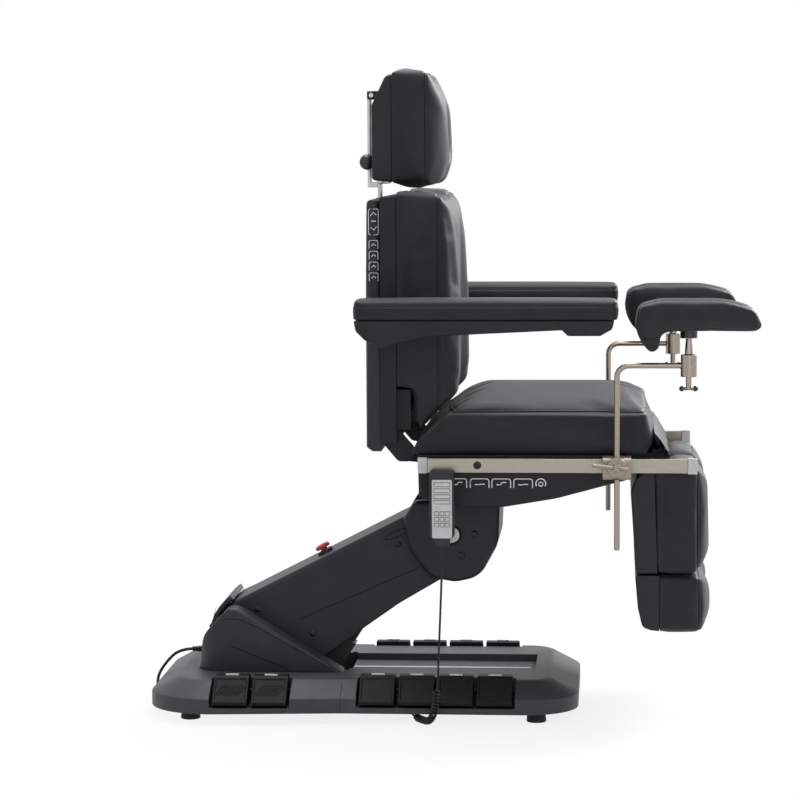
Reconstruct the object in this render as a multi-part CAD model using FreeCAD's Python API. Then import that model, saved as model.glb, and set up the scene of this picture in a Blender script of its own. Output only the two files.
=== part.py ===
import FreeCAD, Part
import math
import os

# Electric examination chair that folds flat. Millimetres, +Z up, +X towards the foot end, near side at
# -Y.
# The origin lies on the floor under the middle of the overall length.
# Each group is drawn about its own pivot and moved to its place afterwards.

V = FreeCAD.Vector
SIDES = {"near": -1, "far": 1}

# Clearances
RUN_FIT = 0.05
SLIDE_GAP = 0.3
BODY_GAP = 1.5
HINGE_GAP = 3.0

# Base shell
BASE_REAR_X = -662.5
BASE_LENGTH = 939.0
REAR_HALF = 318.0
WAIST_HALF = 280.0
FRONT_HALF = 282.0
WAIST_X = -237.5
REAR_CORNER = 140.0
FRONT_CORNER = 116.0
WAIST_ROUND = 300.0
SKIRT_Z = 22.0
SHOULDER_Z = 54.0
DECK_Z = 88.0
SHOULDER_IN = 62.0
BASE_WALL = 4.0
CHANNEL_HALF = 96.0
CHANNEL_Z = 74.0
CHANNEL_END_X = 180.0
WELL_HALF = 113.0
WELL_REAR = 112.0
WELL_FRONT = 195.0

# Pedals and their bays
PEDAL_WIDTH = 77.0
PEDAL_PITCH = 85.0
PEDAL_DEPTH = 82.0
PEDAL_FLAT = 28.0
PEDAL_TOP = 97.0
PEDAL_LIP = 6.0
PEDAL_BOTTOM = 42.0
PEDAL_PIN_R = 4.0
PEDAL_PIN_IN = 12.0
PEDAL_PIN_Z = 62.0
PEDAL_ANGLE = 4.0
BAY_FLOOR = 35.0
BAY_END_GAP = 6.0
BAYS = {"rear": (-432.5, 217.0), "front": (-30.5, 198.0)}
BAY_PEDALS = {"rear": ("1", "2"), "front": ("1", "2", "3", "4")}

# Base frame and feet
PLATE_THICK = 8.0
PLATE_HALF = 180.0
CROSSBAR_HALF = 256.0
CROSSBAR_WIDTH = 56.0
REAR_FOOT_X = -568.5
FRONT_FOOT_X = 186.5
FOOT_Y = 234.0
FOOT_R = 22.0
POST_R = 10.0
POST_Y = 150.0
LUG_IN = 97.0
LUG_THICK = 12.0
LUG_HALF = 62.0
LUG_TOP_R = 30.0

# Lift arm, drawn along its own length from the lower pivot
LIFT_X = -427.5
LIFT_Z = 152.0
ARM_LENGTH = 488.0
ARM_ANGLE = 29.46
ARM_HALF = 88.0
ARM_ROOT_R = 101.0
ARM_TOP_END = 82.0
ARM_TOP_STOP = 50.0
ARM_BOTTOM_STOP = 60.0
ARM_BOTTOM_END = 78.0
ARM_KEEL_START = 100.0
ARM_KEEL_STOP = 180.0
ARM_TONGUE_R = 58.0
ARM_SIDE_WALL = 7.0
ARM_ROOF = 12.0
POCKET_START = 70.0
POCKET_STOP = 66.0
LOWER_SHAFT_R = 20.0
UPPER_SHAFT_R = 15.0
SHAFT_CAP_R = 18.0
SHAFT_CAP_THICK = 3.0
LIFT_RANGE = (-17.0, 21.0)

# Emergency stop on the arm
ESTOP_ALONG = 207.0
ESTOP_HEAD_R = 17.0
ESTOP_HEAD_H = 10.0
ESTOP_STEM_R = 8.0
ESTOP_STEM_LENGTH = 24.0
ESTOP_COLLAR_R = 14.0
ESTOP_COLLAR_H = 6.0
ESTOP_TRAVEL = 4.0

# Lift actuator
ACT_X = 130.0
ACT_Z = 60.0
ACT_EYE_SHORT = 108.0
ACT_EYE_ALONG = ARM_LENGTH - ACT_EYE_SHORT
ACT_EYE_UP = 20.0
ACT_LUG_IN = 20.0
ACT_LUG_THICK = 8.0
ACT_PIN_R = 8.0
ACT_EYE_R = 16.0
ACT_EYE_HALF = 15.0
ACT_BOX_START = 36.0
ACT_BOX_LENGTH = 62.0
ACT_BOX_HALF = 24.0
ACT_MOTOR_R = 22.0
ACT_MOTOR_LENGTH = 42.0
ACT_TUBE_R = 19.0
ACT_TUBE_END = 250.0
ACT_ROD_R = 11.0
ACT_ROD_LENGTH = 190.0

# Tower cover round the lower pivot
TOWER_HALF = 150.0
TOWER_WALL = 4.0
TOWER_ROUND = 58.0
TOWER_SLOT_HALF = 92.0
TOWER_REAR = 138.0
TOWER_TOE = 186.0
TOWER_TOP = 76.0
TOWER_BROW = 48.0
TOWER_NAPE = 70.0
HOOD_GAP = 6.0
HOOD_WALL = 12.0
HOOD_ANGLE = 126.0
SHAFT_WINDOW_R = 26.0

# Head housing at the top of the arm
HEAD_HALF = 128.0
HEAD_SLOT_GAP = 3.5
HEAD_TOP = 74.0
HEAD_REAR = 106.0
HEAD_FRONT = 107.0
HEAD_BOTTOM = 100.0
HEAD_WEB_Z = 66.0
HEAD_WEB_TOP = 84.0
HEAD_WEB_REAR = -10.0
HEAD_WEB_FRONT = 70.0
NECK_HALF = 58.0
NECK_REAR = -22.0
NECK_FRONT = 52.0
NECK_TOP = 136.0
TILT_X = 15.0
TILT_Z = 113.0
TILT_PIN_R = 15.0
TILT_RANGE = (0.0, 10.0)

# Seat, drawn about the upper pivot
SEAT_HALF = 290.0
SEAT_REAR = -67.0
SEAT_FRONT = 446.0
SEAT_BASE_Z = 193.0
SEAT_SEAM_Z = 284.0
SEAT_TOP_Z = 322.0
SEAT_BEVEL_X = 33.0
SEAT_TAIL = 17.0
SEAT_TAIL_Z = 9.0
SEAT_DRAWN_IN = 6.0
COVER_INSET = 4.0
COVER_HALF = SEAT_HALF - COVER_INSET
COVER_WALL = 4.0
COVER_DIP_Z = 81.0
COVER_REAR_Z = 100.0
COVER_FRONT = 390.0
COVER_FRONT_Z = 142.0
COVER_FRONT_TOP = 157.0
COVER_MOUTH_GAP = 12.0
BEAM = 30.0
BEAM_INSET = 20.0
BEAM_OUT = COVER_HALF - BEAM_INSET
TILT_LUG_GAP = 2.0
TILT_LUG_THICK = 12.0
RAIL_STANDOFF = 10.0
RAIL_IN = SEAT_HALF + RAIL_STANDOFF
RAIL_THICK = 10.0
RAIL_Z = 158.0
RAIL_HEIGHT = 30.0
RAIL_REAR = -61.0
RAIL_FRONT = 532.0
RAIL_CAP = 20.0
RAIL_CAP_PROUD = 1.5
STANDOFF_R = 7.0
STANDOFFS = (66.0, 405.0)
STANDOFF_Z = 174.0

# Back, drawn about its recline pivot
RECLINE_X = -93.0
RECLINE_Z = 190.0
RECLINE_RANGE = (0.0, 84.0)
EAR_R = 18.0
EAR_IN = 200.0
EAR_THICK = 10.0
EAR_PIN_R = 8.0
BACK_TOP = 578.0
BACK_HALF = 260.0
BACK_REAR = -18.0
BACK_FRONT = 112.0
BACK_SEAM = 72.0
BACK_LOW = 140.0
BACK_LOBE_IN = 128.0
BACK_RECESS = 18.0
BACK_DRAWN_IN = 6.0
BACK_NOTCH_HALF = 168.0
BACK_NOTCH_Z = 562.0
BACK_FRAME_HALF = 244.0
BACK_FRAME_REAR = -52.0
BACK_FRAME_TOP = 552.0
BACK_SHELL_HALF = 236.0
BACK_SHELL_TOP = 547.0
BACK_SHELL_REAR = 84.0
BACK_SHELL_WALL = 4.0
BACK_SHELL_LOW = 5.0
BOARD_LOW = 24.0
LUMBAR_FRONT = 12.0
LUMBAR_LOW = 52.0
LUMBAR_INSET = 14.0

# Armrests, drawn about their own pivots on the back frame
ARMREST_X = -30.0
ARMREST_Z = 278.0
ARMREST_IN = 314.0
ARMREST_WIDTH = 76.0
ARMREST_SHELL_IN = 4.0
ARMREST_REAR = -73.0
ARMREST_FRONT = 491.0
ARMREST_PAD_Z = 19.0
ARMREST_SEAM = 52.0
ARMREST_TOP = 68.0
ARMREST_ELBOW = 42.0
ARMREST_STUB_R = 10.0
ARMREST_STUB_IN = 36.0

# Headrest, drawn about its tilt pivot at the top of the steel plate
POST_X = -70.0
POST_THICK = 7.0
POST_HALF = 25.0
POST_LENGTH = 150.0
POST_TOP = 582.0
HEADREST_PIVOT_X = -86.0
HEADREST_PIVOT_Z = 773.0
HEADREST_PLATE_THICK = 6.0
HEADREST_PLATE_HALF = 24.0
HEADREST_PLATE_R = 12.0
HEADREST_PIN_R = 5.0
HEADREST_TILT = (0.0, 20.0)
HEADREST_LIFT = 60.0
HEADREST_HALF = 155.0
HEADREST_TOP = 56.0
HEADREST_BOTTOM = -202.0
HEADREST_REAR = 52.0
HEADREST_SEAM = 126.0
HEADREST_FRONT = 170.0
HEADREST_SHELL_REAR = 9.0
HEADREST_SHELL_HALF = 132.0
FACE_LENGTH = 145.0
FACE_WIDTH = 92.0
FACE_DEPTH = 12.0
KNOB_R = 17.5
KNOB_LENGTH = 22.0
KNOB_STEM_R = 6.0
KNOB_DROP = 147.0

# Leg rests, drawn about their hinge
LEG_X = 457.0
LEG_Z = 182.0
LEG_RANGE = (0.0, 85.0)
LEG_BAR_R = 11.0
LEG_BAR_HALF = 216.0
LEG_INSET = 6.0
LEG_OUT = SEAT_HALF - LEG_INSET
LEG_IN = 14.0
LEG_BOTTOM = -246.0
LEG_TOP = -8.0
LEG_HEEL = -24.0
LEG_FRONT = 101.0
LEG_SEAM = 80.0
LEG_SPLIT_TOP = -15.0
LEG_SPLIT_LOW = -8.0
LEG_SHELL_REAR = -66.0
LEG_SHELL_WALL = 4.0
LEG_POST = 30.0
LEG_POST_BORE = 24.0
LEG_POST_Y = (LEG_OUT + LEG_IN) / 2
LEG_POST_X = -34.0

# Foot rests slide out of the leg posts
FOOT_BOTTOM = -376.0
FOOT_FRONT = 105.0
FOOT_SPLIT = -4.0
FOOT_REAR = -56.0
FOOT_BAR = 22.0
FOOT_BAR_TOP = -80.0
FOOT_TRAVEL = 60.0

# Stirrups, drawn about the foot of each rod's axis on the rail
STIRRUP_X = {"near": 362.0, "far": 342.0}
STIRRUP_SLIDE = {"near": (-10.0, 110.0), "far": (0.0, 120.0)}
ROD_OFFSET = 35.0
STIRRUP_Y = RAIL_IN + ROD_OFFSET
CLAMP_HALF = 30.0
CLAMP_LOW = 148.0
CLAMP_HIGH = 194.0
CLAMP_DEPTH = 48.0
CLAMP_OUT = RAIL_IN + CLAMP_DEPTH
CLAMP_LIP = 6.5
CLAMP_JAW_LOW = 165.0
CLAMP_JAW_HIGH = 183.0
SCREW_Z = 175.0
SCREW_R = 5.0
ROSETTE_R = 21.0
ROSETTE_THICK = 12.0
TBAR_R = 4.0
TBAR_REAR = 51.0
TBAR_FRONT = 24.0
TBAR_DIP = 6.5
ROD_R = 6.0
ROD_LOW = -3.0
ROD_TOP = 389.0
ROD_BEND = 25.0
ROD_REACH = 150.0
ROD_RISE = (-60.0, 50.0)
SOCKET_R = 17.0
SOCKET_HEIGHT = 47.0
SPINDLE_R = 6.0
SPINDLE_CONE_R = 9.0
SPINDLE_CONE_H = 34.0
MOUNT_R = 18.0
MOUNT_HEIGHT = 19.0
LEVER_DROP = 28.0
LEVER_R = 3.0
LEVER_BALL_R = 6.0
LEVER_HALF = 14.0
PAD_REAR = -116.0
PAD_FRONT = 157.3
PAD_HALF = 80.0
PAD_RISE = 66.0
PAD_LIP = 48.0
PAD_TROUGH = 24.0
SWIVEL_RANGE = (-10.0, 10.0)

# Handset clipped on the near rail
HANDSET_X = -8.0
HANDSET_WIDTH = 52.0
HANDSET_LOW = 2.0
HANDSET_HIGH = 167.0
HANDSET_GAP = 3.0
HANDSET_IN = RAIL_IN + RAIL_THICK + HANDSET_GAP
HANDSET_THICK = 23.0
HANDSET_NECK = 14.0
HANDSET_CLIP = 3.5

# Cords
HANDSET_CORD_R = 2.3
CURL_R = 6.2
CURL_PITCH = 7.2
MAINS_R = 3.4
GLAND_LENGTH = 40.0
GLAND_R = 10.0
GLAND_TIP_R = 5.5
GLAND_Z = 112.0
COIL_INNER = 22.0
COIL_PITCH = 8.6
COIL_TURNS = 4
COIL_LAYER = 8.4
COIL_X = -440.0
COIL_Y = 425.0
MAINS_ROUTE = [(-30.0, 0.0, 110.0), (-58.0, 2.0, 84.0), (-80.0, 8.0, 52.0), (-85.5, 24.0, 22.0),
               (-85.5, 58.0, 6.0), (-81.5, 100.0, 3.5), (-76.5, 152.0, 3.5), (-66.5, 206.0, 3.5),
               (-44.5, 258.0, 3.5), (-8.5, 302.0, 3.5), (37.5, 336.0, 3.5), (76.5, 356.0, 3.5)]
MAINS_LAST_RUN = 36.0
COIL_LEAD = 54.0
PLUG_LENGTH = 46.0
PLUG_WIDTH = 36.0
PLUG_PIN_R = 2.4
PLUG_PIN_LENGTH = 19.0
PLUG_PIN_PITCH = 19.0

# Places of the pivots in the finished frame
LIFT_PIVOT = V(LIFT_X, 0, LIFT_Z)
ARM_DIR = V(math.cos(math.radians(ARM_ANGLE)), 0, math.sin(math.radians(ARM_ANGLE)))
ARM_UP = V(-ARM_DIR.z, 0, ARM_DIR.x)
HEAD_PIVOT = LIFT_PIVOT + ARM_DIR * ARM_LENGTH
TILT_PIVOT = HEAD_PIVOT + V(TILT_X, 0, TILT_Z)
RECLINE_PIVOT = HEAD_PIVOT + V(RECLINE_X, 0, RECLINE_Z)
ARMREST_PIVOT = RECLINE_PIVOT + V(ARMREST_X, 0, ARMREST_Z)
HEADREST_PIVOT = RECLINE_PIVOT + V(HEADREST_PIVOT_X, 0, HEADREST_PIVOT_Z)
KNOB_CENTRE = HEADREST_PIVOT + V(-9.0, 0, -KNOB_DROP)
LEG_PIVOT = HEAD_PIVOT + V(LEG_X, 0, LEG_Z)
ACT_PIVOT = LIFT_PIVOT + V(ACT_X, 0, ACT_Z - LIFT_Z)
ACT_EYE = LIFT_PIVOT + ARM_DIR * ACT_EYE_ALONG + ARM_UP * ACT_EYE_UP
ACT_DIR = V(ACT_EYE - ACT_PIVOT).normalize()
STIRRUP = {side: HEAD_PIVOT + V(STIRRUP_X[side], SIDES[side] * STIRRUP_Y, 0) for side in SIDES}
SPINDLE = {side: STIRRUP[side] + V(ROD_REACH, 0, 0) for side in SIDES}

PIECES = {}


def plane_point(plane, u, v, level):
    if plane == "xz":
        return V(u, level, v)
    if plane == "yz":
        return V(level, u, v)
    return V(u, v, level)


# A closed outline in one plane: each point is (u, v, corner radius, bow of the next edge).
def outline(points, plane, level):
    corners = [tuple(p) + (0.0,) * (4 - len(p)) for p in points]
    count = len(corners)
    ends = []
    for i in range(count):
        here = V(corners[i][0], corners[i][1], 0)
        before = V(corners[i - 1][0], corners[i - 1][1], 0) - here
        after = V(corners[(i + 1) % count][0], corners[(i + 1) % count][1], 0) - here
        half = before.getAngle(after) / 2
        radius = corners[i][2]
        if radius == 0:
            ends.append((here, None, here))
            continue
        reach = min(radius / math.tan(half), 0.49 * before.Length, 0.49 * after.Length)
        radius = reach * math.tan(half)
        start = here + V(before).normalize() * reach
        stop = here + V(after).normalize() * reach
        bisector = (V(before).normalize() + V(after).normalize()).normalize()
        middle = here + bisector * (radius / math.sin(half) - radius)
        ends.append((start, middle, stop))
    edges = []
    for i in range(count):
        start, middle, stop = ends[i]
        lift = [plane_point(plane, p.x, p.y, level) for p in (start, middle or start, stop)]
        if middle is not None:
            edges.append(Part.Arc(*lift).toShape())
        following = ends[(i + 1) % count][0]
        goal = plane_point(plane, following.x, following.y, level)
        bow = corners[i][3]
        if bow:
            run = following - stop
            side = V(run.y, -run.x, 0).normalize()
            top = (stop + following) * 0.5 + side * bow
            edges.append(Part.Arc(lift[2], plane_point(plane, top.x, top.y, level), goal).toShape())
        elif (following - stop).Length > 1e-6:
            edges.append(Part.LineSegment(lift[2], goal).toShape())
    return Part.Wire(edges)


def prism(points, plane, low, high):
    face = Part.Face(outline(points, plane, low))
    return face.extrude(plane_point(plane, 0, 0, high - low))


def box(x0, x1, y0, y1, z0, z1):
    return Part.makeBox(x1 - x0, y1 - y0, z1 - z0, V(x0, y0, z0))


# A box given by its distances out from the middle plane, on one side of the chair.
def side_box(side, x0, x1, inner, outer, z0, z1):
    near, far = sorted((SIDES[side] * inner, SIDES[side] * outer))
    return box(x0, x1, near, far, z0, z1)


def side_prism(side, points, inner, outer):
    near, far = sorted((SIDES[side] * inner, SIDES[side] * outer))
    return prism(points, "xz", near, far)


def rod_y(side, x, z, radius, inner, outer):
    return Part.makeCylinder(radius, outer - inner, V(x, SIDES[side] * inner, z), V(0, SIDES[side], 0))


def bar_y(x, z, radius, half):
    return Part.makeCylinder(radius, 2 * half, V(x, -half, z), V(0, 1, 0))


def union(shapes):
    return shapes[0].multiFuse(shapes[1:]).removeSplitter()


def mirrored(shape):
    return shape.mirror(V(0, 0, 0), V(0, 1, 0))


def keep(name, shape, place=None):
    moved = shape.copy()
    if place is not None:
        moved.translate(place)
    PIECES[name] = moved.Solids[0] if len(moved.Solids) == 1 else Part.makeCompound(moved.Solids)


# Base shell: a low moulded cover with a sloped shoulder, pedal bays, a channel and a well for the arm.
def base_outline(inset, level):
    rear = BASE_REAR_X + inset
    front = BASE_REAR_X + BASE_LENGTH - inset
    near = [(rear, -(REAR_HALF - inset), REAR_CORNER - inset),
            (WAIST_X, -(WAIST_HALF - inset), WAIST_ROUND),
            (front, -(FRONT_HALF - inset), FRONT_CORNER - inset)]
    far = [(x, -y, radius) for x, y, radius in reversed(near)]
    return outline(near + far, "xy", level)


def base_body(inset, low, shoulder, top):
    lower = Part.Face(base_outline(inset, low)).extrude(V(0, 0, shoulder - low))
    rim = base_outline(inset, shoulder)
    crest = base_outline(inset + SHOULDER_IN, top)
    return lower.fuse(Part.makeLoft([rim, crest], True, True))


def bay_span(bay):
    middle, inner = BAYS[bay]
    row = len(BAY_PEDALS[bay]) * PEDAL_PITCH - (PEDAL_PITCH - PEDAL_WIDTH)
    half = row / 2 + BAY_END_GAP
    return middle - half, middle + half, inner


def bay_boxes(grow):
    boxes = []
    for side in SIDES:
        for bay in BAYS:
            x0, x1, inner = bay_span(bay)
            boxes.append(side_box(side, x0 - grow, x1 + grow, inner - grow, REAR_HALF + grow + 1,
                                  BAY_FLOOR - grow, DECK_Z + grow + 10))
    return boxes


def make_base_shell():
    outer = base_body(0, SKIRT_Z, SHOULDER_Z, DECK_Z)
    inner = base_body(BASE_WALL, SKIRT_Z - 1, SHOULDER_Z - BASE_WALL / 2, DECK_Z - BASE_WALL)
    well_front = LIFT_X + WELL_FRONT
    channel = box(well_front - 1, CHANNEL_END_X, -CHANNEL_HALF, CHANNEL_HALF, CHANNEL_Z, DECK_Z + 1)
    below_channel = box(well_front - 1, CHANNEL_END_X + BASE_WALL, -CHANNEL_HALF - BASE_WALL,
                        CHANNEL_HALF + BASE_WALL, CHANNEL_Z - BASE_WALL, DECK_Z)
    well = box(LIFT_X - WELL_REAR, well_front, -WELL_HALF, WELL_HALF, SKIRT_Z - 2, DECK_Z + 1)
    well_wall = box(LIFT_X - WELL_REAR - BASE_WALL, well_front + BASE_WALL, -WELL_HALF - BASE_WALL,
                    WELL_HALF + BASE_WALL, SKIRT_Z + PLATE_THICK + BODY_GAP, DECK_Z)
    hollow = inner.cut(bay_boxes(BASE_WALL) + [below_channel, well_wall])
    shell = outer.cut(bay_boxes(0) + [channel, hollow, well])
    pins = []
    for side in SIDES:
        for bay in BAYS:
            x0, x1, inner_y = bay_span(bay)
            place = V(x0 - BASE_WALL / 2, SIDES[side] * (inner_y + PEDAL_PIN_IN), PEDAL_PIN_Z)
            pins.append(Part.makeCylinder(PEDAL_PIN_R, x1 - x0 + BASE_WALL, place, V(1, 0, 0)))
    keep("base_shell", union([shell] + pins))


def pedal_names():
    names = []
    for side in SIDES:
        for bay in BAYS:
            middle, inner = BAYS[bay]
            last = len(BAY_PEDALS[bay]) - 1
            for i, label in enumerate(BAY_PEDALS[bay]):
                x = middle + (i - last / 2) * PEDAL_PITCH
                names.append(("pedal_%s_%s_%s" % (side, bay, label), side, x, inner))
    return names


def make_pedals():
    for name, side, x, inner in pedal_names():
        start = inner + HINGE_GAP
        sign = SIDES[side]
        section = [(sign * start, PEDAL_BOTTOM), (sign * (start + PEDAL_DEPTH), PEDAL_BOTTOM),
                   (sign * (start + PEDAL_DEPTH), PEDAL_BOTTOM + PEDAL_LIP, 3),
                   (sign * (start + PEDAL_FLAT), PEDAL_TOP, 8), (sign * start, PEDAL_TOP, 3)]
        body = prism(section, "yz", x - PEDAL_WIDTH / 2, x + PEDAL_WIDTH / 2)
        bore = Part.makeCylinder(PEDAL_PIN_R + RUN_FIT, PEDAL_WIDTH + 2,
                                 V(x - PEDAL_WIDTH / 2 - 1, sign * (inner + PEDAL_PIN_IN), PEDAL_PIN_Z),
                                 V(1, 0, 0))
        keep(name, body.cut(bore))


# Base frame: a welded plate with crossbars over the feet, lugs for the lift arm and for the actuator.
def make_base_frame():
    top = SKIRT_Z + PLATE_THICK
    rear = REAR_FOOT_X - CROSSBAR_WIDTH / 2
    front = FRONT_FOOT_X + CROSSBAR_WIDTH / 2
    pieces = [box(rear, front, -PLATE_HALF, PLATE_HALF, SKIRT_Z, top)]
    for x in (REAR_FOOT_X, FRONT_FOOT_X):
        pieces.append(box(x - CROSSBAR_WIDTH / 2, x + CROSSBAR_WIDTH / 2, -CROSSBAR_HALF, CROSSBAR_HALF,
                          SKIRT_Z, top))
        for sign in SIDES.values():
            pieces.append(Part.makeCylinder(POST_R, DECK_Z - BASE_WALL - top, V(x, sign * POST_Y, top)))
    lug = [(LIFT_X - LUG_HALF, top), (LIFT_X + LUG_HALF, top),
           (LIFT_X + LUG_TOP_R, LIFT_Z + LUG_TOP_R, LUG_TOP_R),
           (LIFT_X - LUG_TOP_R, LIFT_Z + LUG_TOP_R, LUG_TOP_R)]
    act = [(ACT_PIVOT.x - 24, top), (ACT_PIVOT.x + 24, top),
           (ACT_PIVOT.x + ACT_EYE_R, ACT_Z + ACT_EYE_R, 12),
           (ACT_PIVOT.x - ACT_EYE_R, ACT_Z + ACT_EYE_R, 12)]
    for side in SIDES:
        pieces.append(side_prism(side, lug, LUG_IN, LUG_IN + LUG_THICK))
        pieces.append(side_prism(side, act, ACT_LUG_IN, ACT_LUG_IN + ACT_LUG_THICK))
    frame = union(pieces + [bar_y(ACT_PIVOT.x, ACT_Z, ACT_PIN_R, ACT_LUG_IN + ACT_LUG_THICK)])
    keep("base_frame", frame.cut(bar_y(LIFT_X, LIFT_Z, LOWER_SHAFT_R + RUN_FIT, TOWER_HALF)))
    feet = []
    for x in (REAR_FOOT_X, FRONT_FOOT_X):
        for sign in SIDES.values():
            feet.append(Part.makeCone(FOOT_R, FOOT_R - 3, SKIRT_Z, V(x, sign * FOOT_Y, 0)))
    keep("base_feet", Part.makeCompound(feet))


# Tower cover: two hollow cheeks and a hood round the lower end of the arm, in coordinates about the
# pivot.
def tower_profile(inset, low):
    return [(-TOWER_REAR + inset, low), (TOWER_TOE - 2 * inset, low),
            (-TOWER_BROW + inset / 2, TOWER_TOP - inset, 34),
            (-TOWER_NAPE + inset / 2, TOWER_TOP - inset, 14), (-TOWER_REAR + 10 + inset, 12, 60)]


def tower_plan(inset):
    rear = -TOWER_REAR + inset
    half = TOWER_HALF - inset
    plan = [(rear, -half, TOWER_ROUND - inset), (TOWER_TOE + 1, -half), (TOWER_TOE + 1, half),
            (rear, half, TOWER_ROUND - inset)]
    return prism(plan, "xy", DECK_Z - LIFT_Z - 2, TOWER_TOP + 1)


def make_tower_cover():
    deck = DECK_Z - LIFT_Z
    cheeks = prism(tower_profile(0, deck), "xz", -TOWER_HALF, TOWER_HALF)
    cheeks = cheeks.common(tower_plan(0))
    slot = prism(tower_profile(-40, deck - 1), "xz", -TOWER_SLOT_HALF, TOWER_SLOT_HALF)
    cheeks = cheeks.cut(slot)
    hollows = []
    for side in SIDES:
        hollows.append(side_prism(side, tower_profile(TOWER_WALL, deck - 1), TOWER_SLOT_HALF + TOWER_WALL,
                                  TOWER_HALF - TOWER_WALL).common(tower_plan(TOWER_WALL)))
    clear = ARM_ROOT_R + HOOD_GAP
    turn = math.radians(HOOD_ANGLE)
    reach = 3 * clear
    wedge = prism([(0, 0), (reach * math.cos(turn), reach * math.sin(turn)), (-reach, reach),
                   (-reach, deck),
                   (-TOWER_REAR / 2, deck)], "xz", -TOWER_SLOT_HALF, TOWER_SLOT_HALF)
    rear = prism(tower_profile(0, deck), "xz", -TOWER_SLOT_HALF, TOWER_SLOT_HALF)
    drum = bar_y(0, 0, clear + HOOD_WALL, TOWER_SLOT_HALF)
    hood = rear.fuse(drum).common(wedge).cut(bar_y(0, 0, clear, TOWER_HALF))
    cover = union([cheeks.cut(hollows), hood])
    cover = cover.cut(bar_y(0, 0, SHAFT_WINDOW_R, TOWER_SLOT_HALF + TOWER_WALL + 1))
    gland_hole = Part.makeCylinder(GLAND_R - 3, TOWER_REAR, V(-TOWER_REAR - 1, 0, GLAND_Z - LIFT_Z),
                                   V(1, 0, 0))
    keep("tower_cover", cover.cut(gland_hole.common(wedge)), LIFT_PIVOT)


# Lift arm in its own coordinates: x along the arm from the lower pivot, z square to it.
def turned(shape):
    turned_shape = shape.copy()
    turned_shape.rotate(V(0, 0, 0), V(0, -1, 0), ARM_ANGLE)
    return turned_shape


def arm_top(along):
    slope = (ARM_ROOT_R - ARM_TOP_END) / (ARM_LENGTH - ARM_TOP_STOP)
    return ARM_ROOT_R - slope * along


def make_lift_arm():
    body = prism([(0, -ARM_ROOT_R), (ARM_KEEL_START, -ARM_ROOT_R, 200),
                  (ARM_LENGTH - ARM_KEEL_STOP, -ARM_BOTTOM_END - 2, 300),
                  (ARM_LENGTH - ARM_BOTTOM_STOP, -ARM_BOTTOM_END, 10),
                  (ARM_LENGTH - 20, -ARM_TONGUE_R), (ARM_LENGTH - 8, ARM_TONGUE_R),
                  (ARM_LENGTH - ARM_TOP_STOP, ARM_TOP_END, 8), (0, ARM_ROOT_R)], "xz", -ARM_HALF,
                  ARM_HALF)
    tongue = bar_y(ARM_LENGTH, 0, ARM_TONGUE_R, ARM_HALF)
    root = bar_y(0, 0, ARM_ROOT_R, ARM_HALF)
    inner = ARM_HALF - ARM_SIDE_WALL
    stop = ARM_LENGTH - POCKET_STOP
    pocket = prism([(POCKET_START, -2 * ARM_ROOT_R), (stop, -2 * ARM_ROOT_R),
                    (stop, arm_top(stop) - ARM_ROOF, 20),
                    (POCKET_START, arm_top(POCKET_START) - ARM_ROOF, 20)], "xz", -inner, inner)
    lugs = []
    for side in SIDES:
        lug = [(ACT_EYE_ALONG - ACT_EYE_R, ACT_EYE_UP - ACT_EYE_R, 10),
               (ACT_EYE_ALONG + ACT_EYE_R, ACT_EYE_UP - ACT_EYE_R, 10),
               (ACT_EYE_ALONG + 26, arm_top(ACT_EYE_ALONG) - ARM_ROOF / 2),
               (ACT_EYE_ALONG - 26, arm_top(ACT_EYE_ALONG) - ARM_ROOF / 2)]
        lugs.append(side_prism(side, lug, ACT_LUG_IN, ACT_LUG_IN + ACT_LUG_THICK))
    seat = arm_top(ESTOP_ALONG)
    collar = Part.makeCylinder(ESTOP_COLLAR_R, ESTOP_COLLAR_H + 4, V(ESTOP_ALONG, 0, seat - 4))
    arm = union([body, tongue, root]).cut(pocket)
    arm = union([arm, collar] + lugs)
    arm = arm.cut([bar_y(0, 0, LOWER_SHAFT_R, ARM_HALF + 1),
                   bar_y(ARM_LENGTH, 0, UPPER_SHAFT_R, ARM_HALF + 1),
                   Part.makeCylinder(ESTOP_STEM_R + RUN_FIT, 60, V(ESTOP_ALONG, 0, seat - 40))])
    keep("lift_arm", turned(arm), LIFT_PIVOT)
    head_low = seat + ESTOP_COLLAR_H + ESTOP_TRAVEL + 1
    head = Part.makeCylinder(ESTOP_HEAD_R, ESTOP_HEAD_H, V(ESTOP_ALONG, 0, head_low))
    head = head.makeFillet(4, [edge for edge in head.Edges
                               if edge.CenterOfMass.z > head_low + ESTOP_HEAD_H - 0.1])
    stem = Part.makeCylinder(ESTOP_STEM_R, ESTOP_STEM_LENGTH,
                             V(ESTOP_ALONG, 0, head_low - ESTOP_STEM_LENGTH))
    keep("estop_button", turned(union([head, stem])), LIFT_PIVOT)
    lower = bar_y(0, 0, LOWER_SHAFT_R, LUG_IN + LUG_THICK + HINGE_GAP)
    upper = bar_y(ARM_LENGTH, 0, UPPER_SHAFT_R, HEAD_HALF + SLIDE_GAP)
    caps = [rod_y(side, ARM_LENGTH, 0, SHAFT_CAP_R, HEAD_HALF + SLIDE_GAP,
                  HEAD_HALF + SLIDE_GAP + SHAFT_CAP_THICK)
            for side in SIDES]
    keep("pivot_shafts", turned(Part.makeCompound([lower, union([upper] + caps)])), LIFT_PIVOT)


# Lift actuator: drawn upright along +Z from its lower pin, then leaned to its rest angle.
def leaned(shape):
    angle = math.degrees(math.atan2(ACT_DIR.x, ACT_DIR.z))
    leaned_shape = shape.copy()
    leaned_shape.rotate(V(0, 0, 0), V(0, 1, 0), angle)
    return leaned_shape


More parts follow.
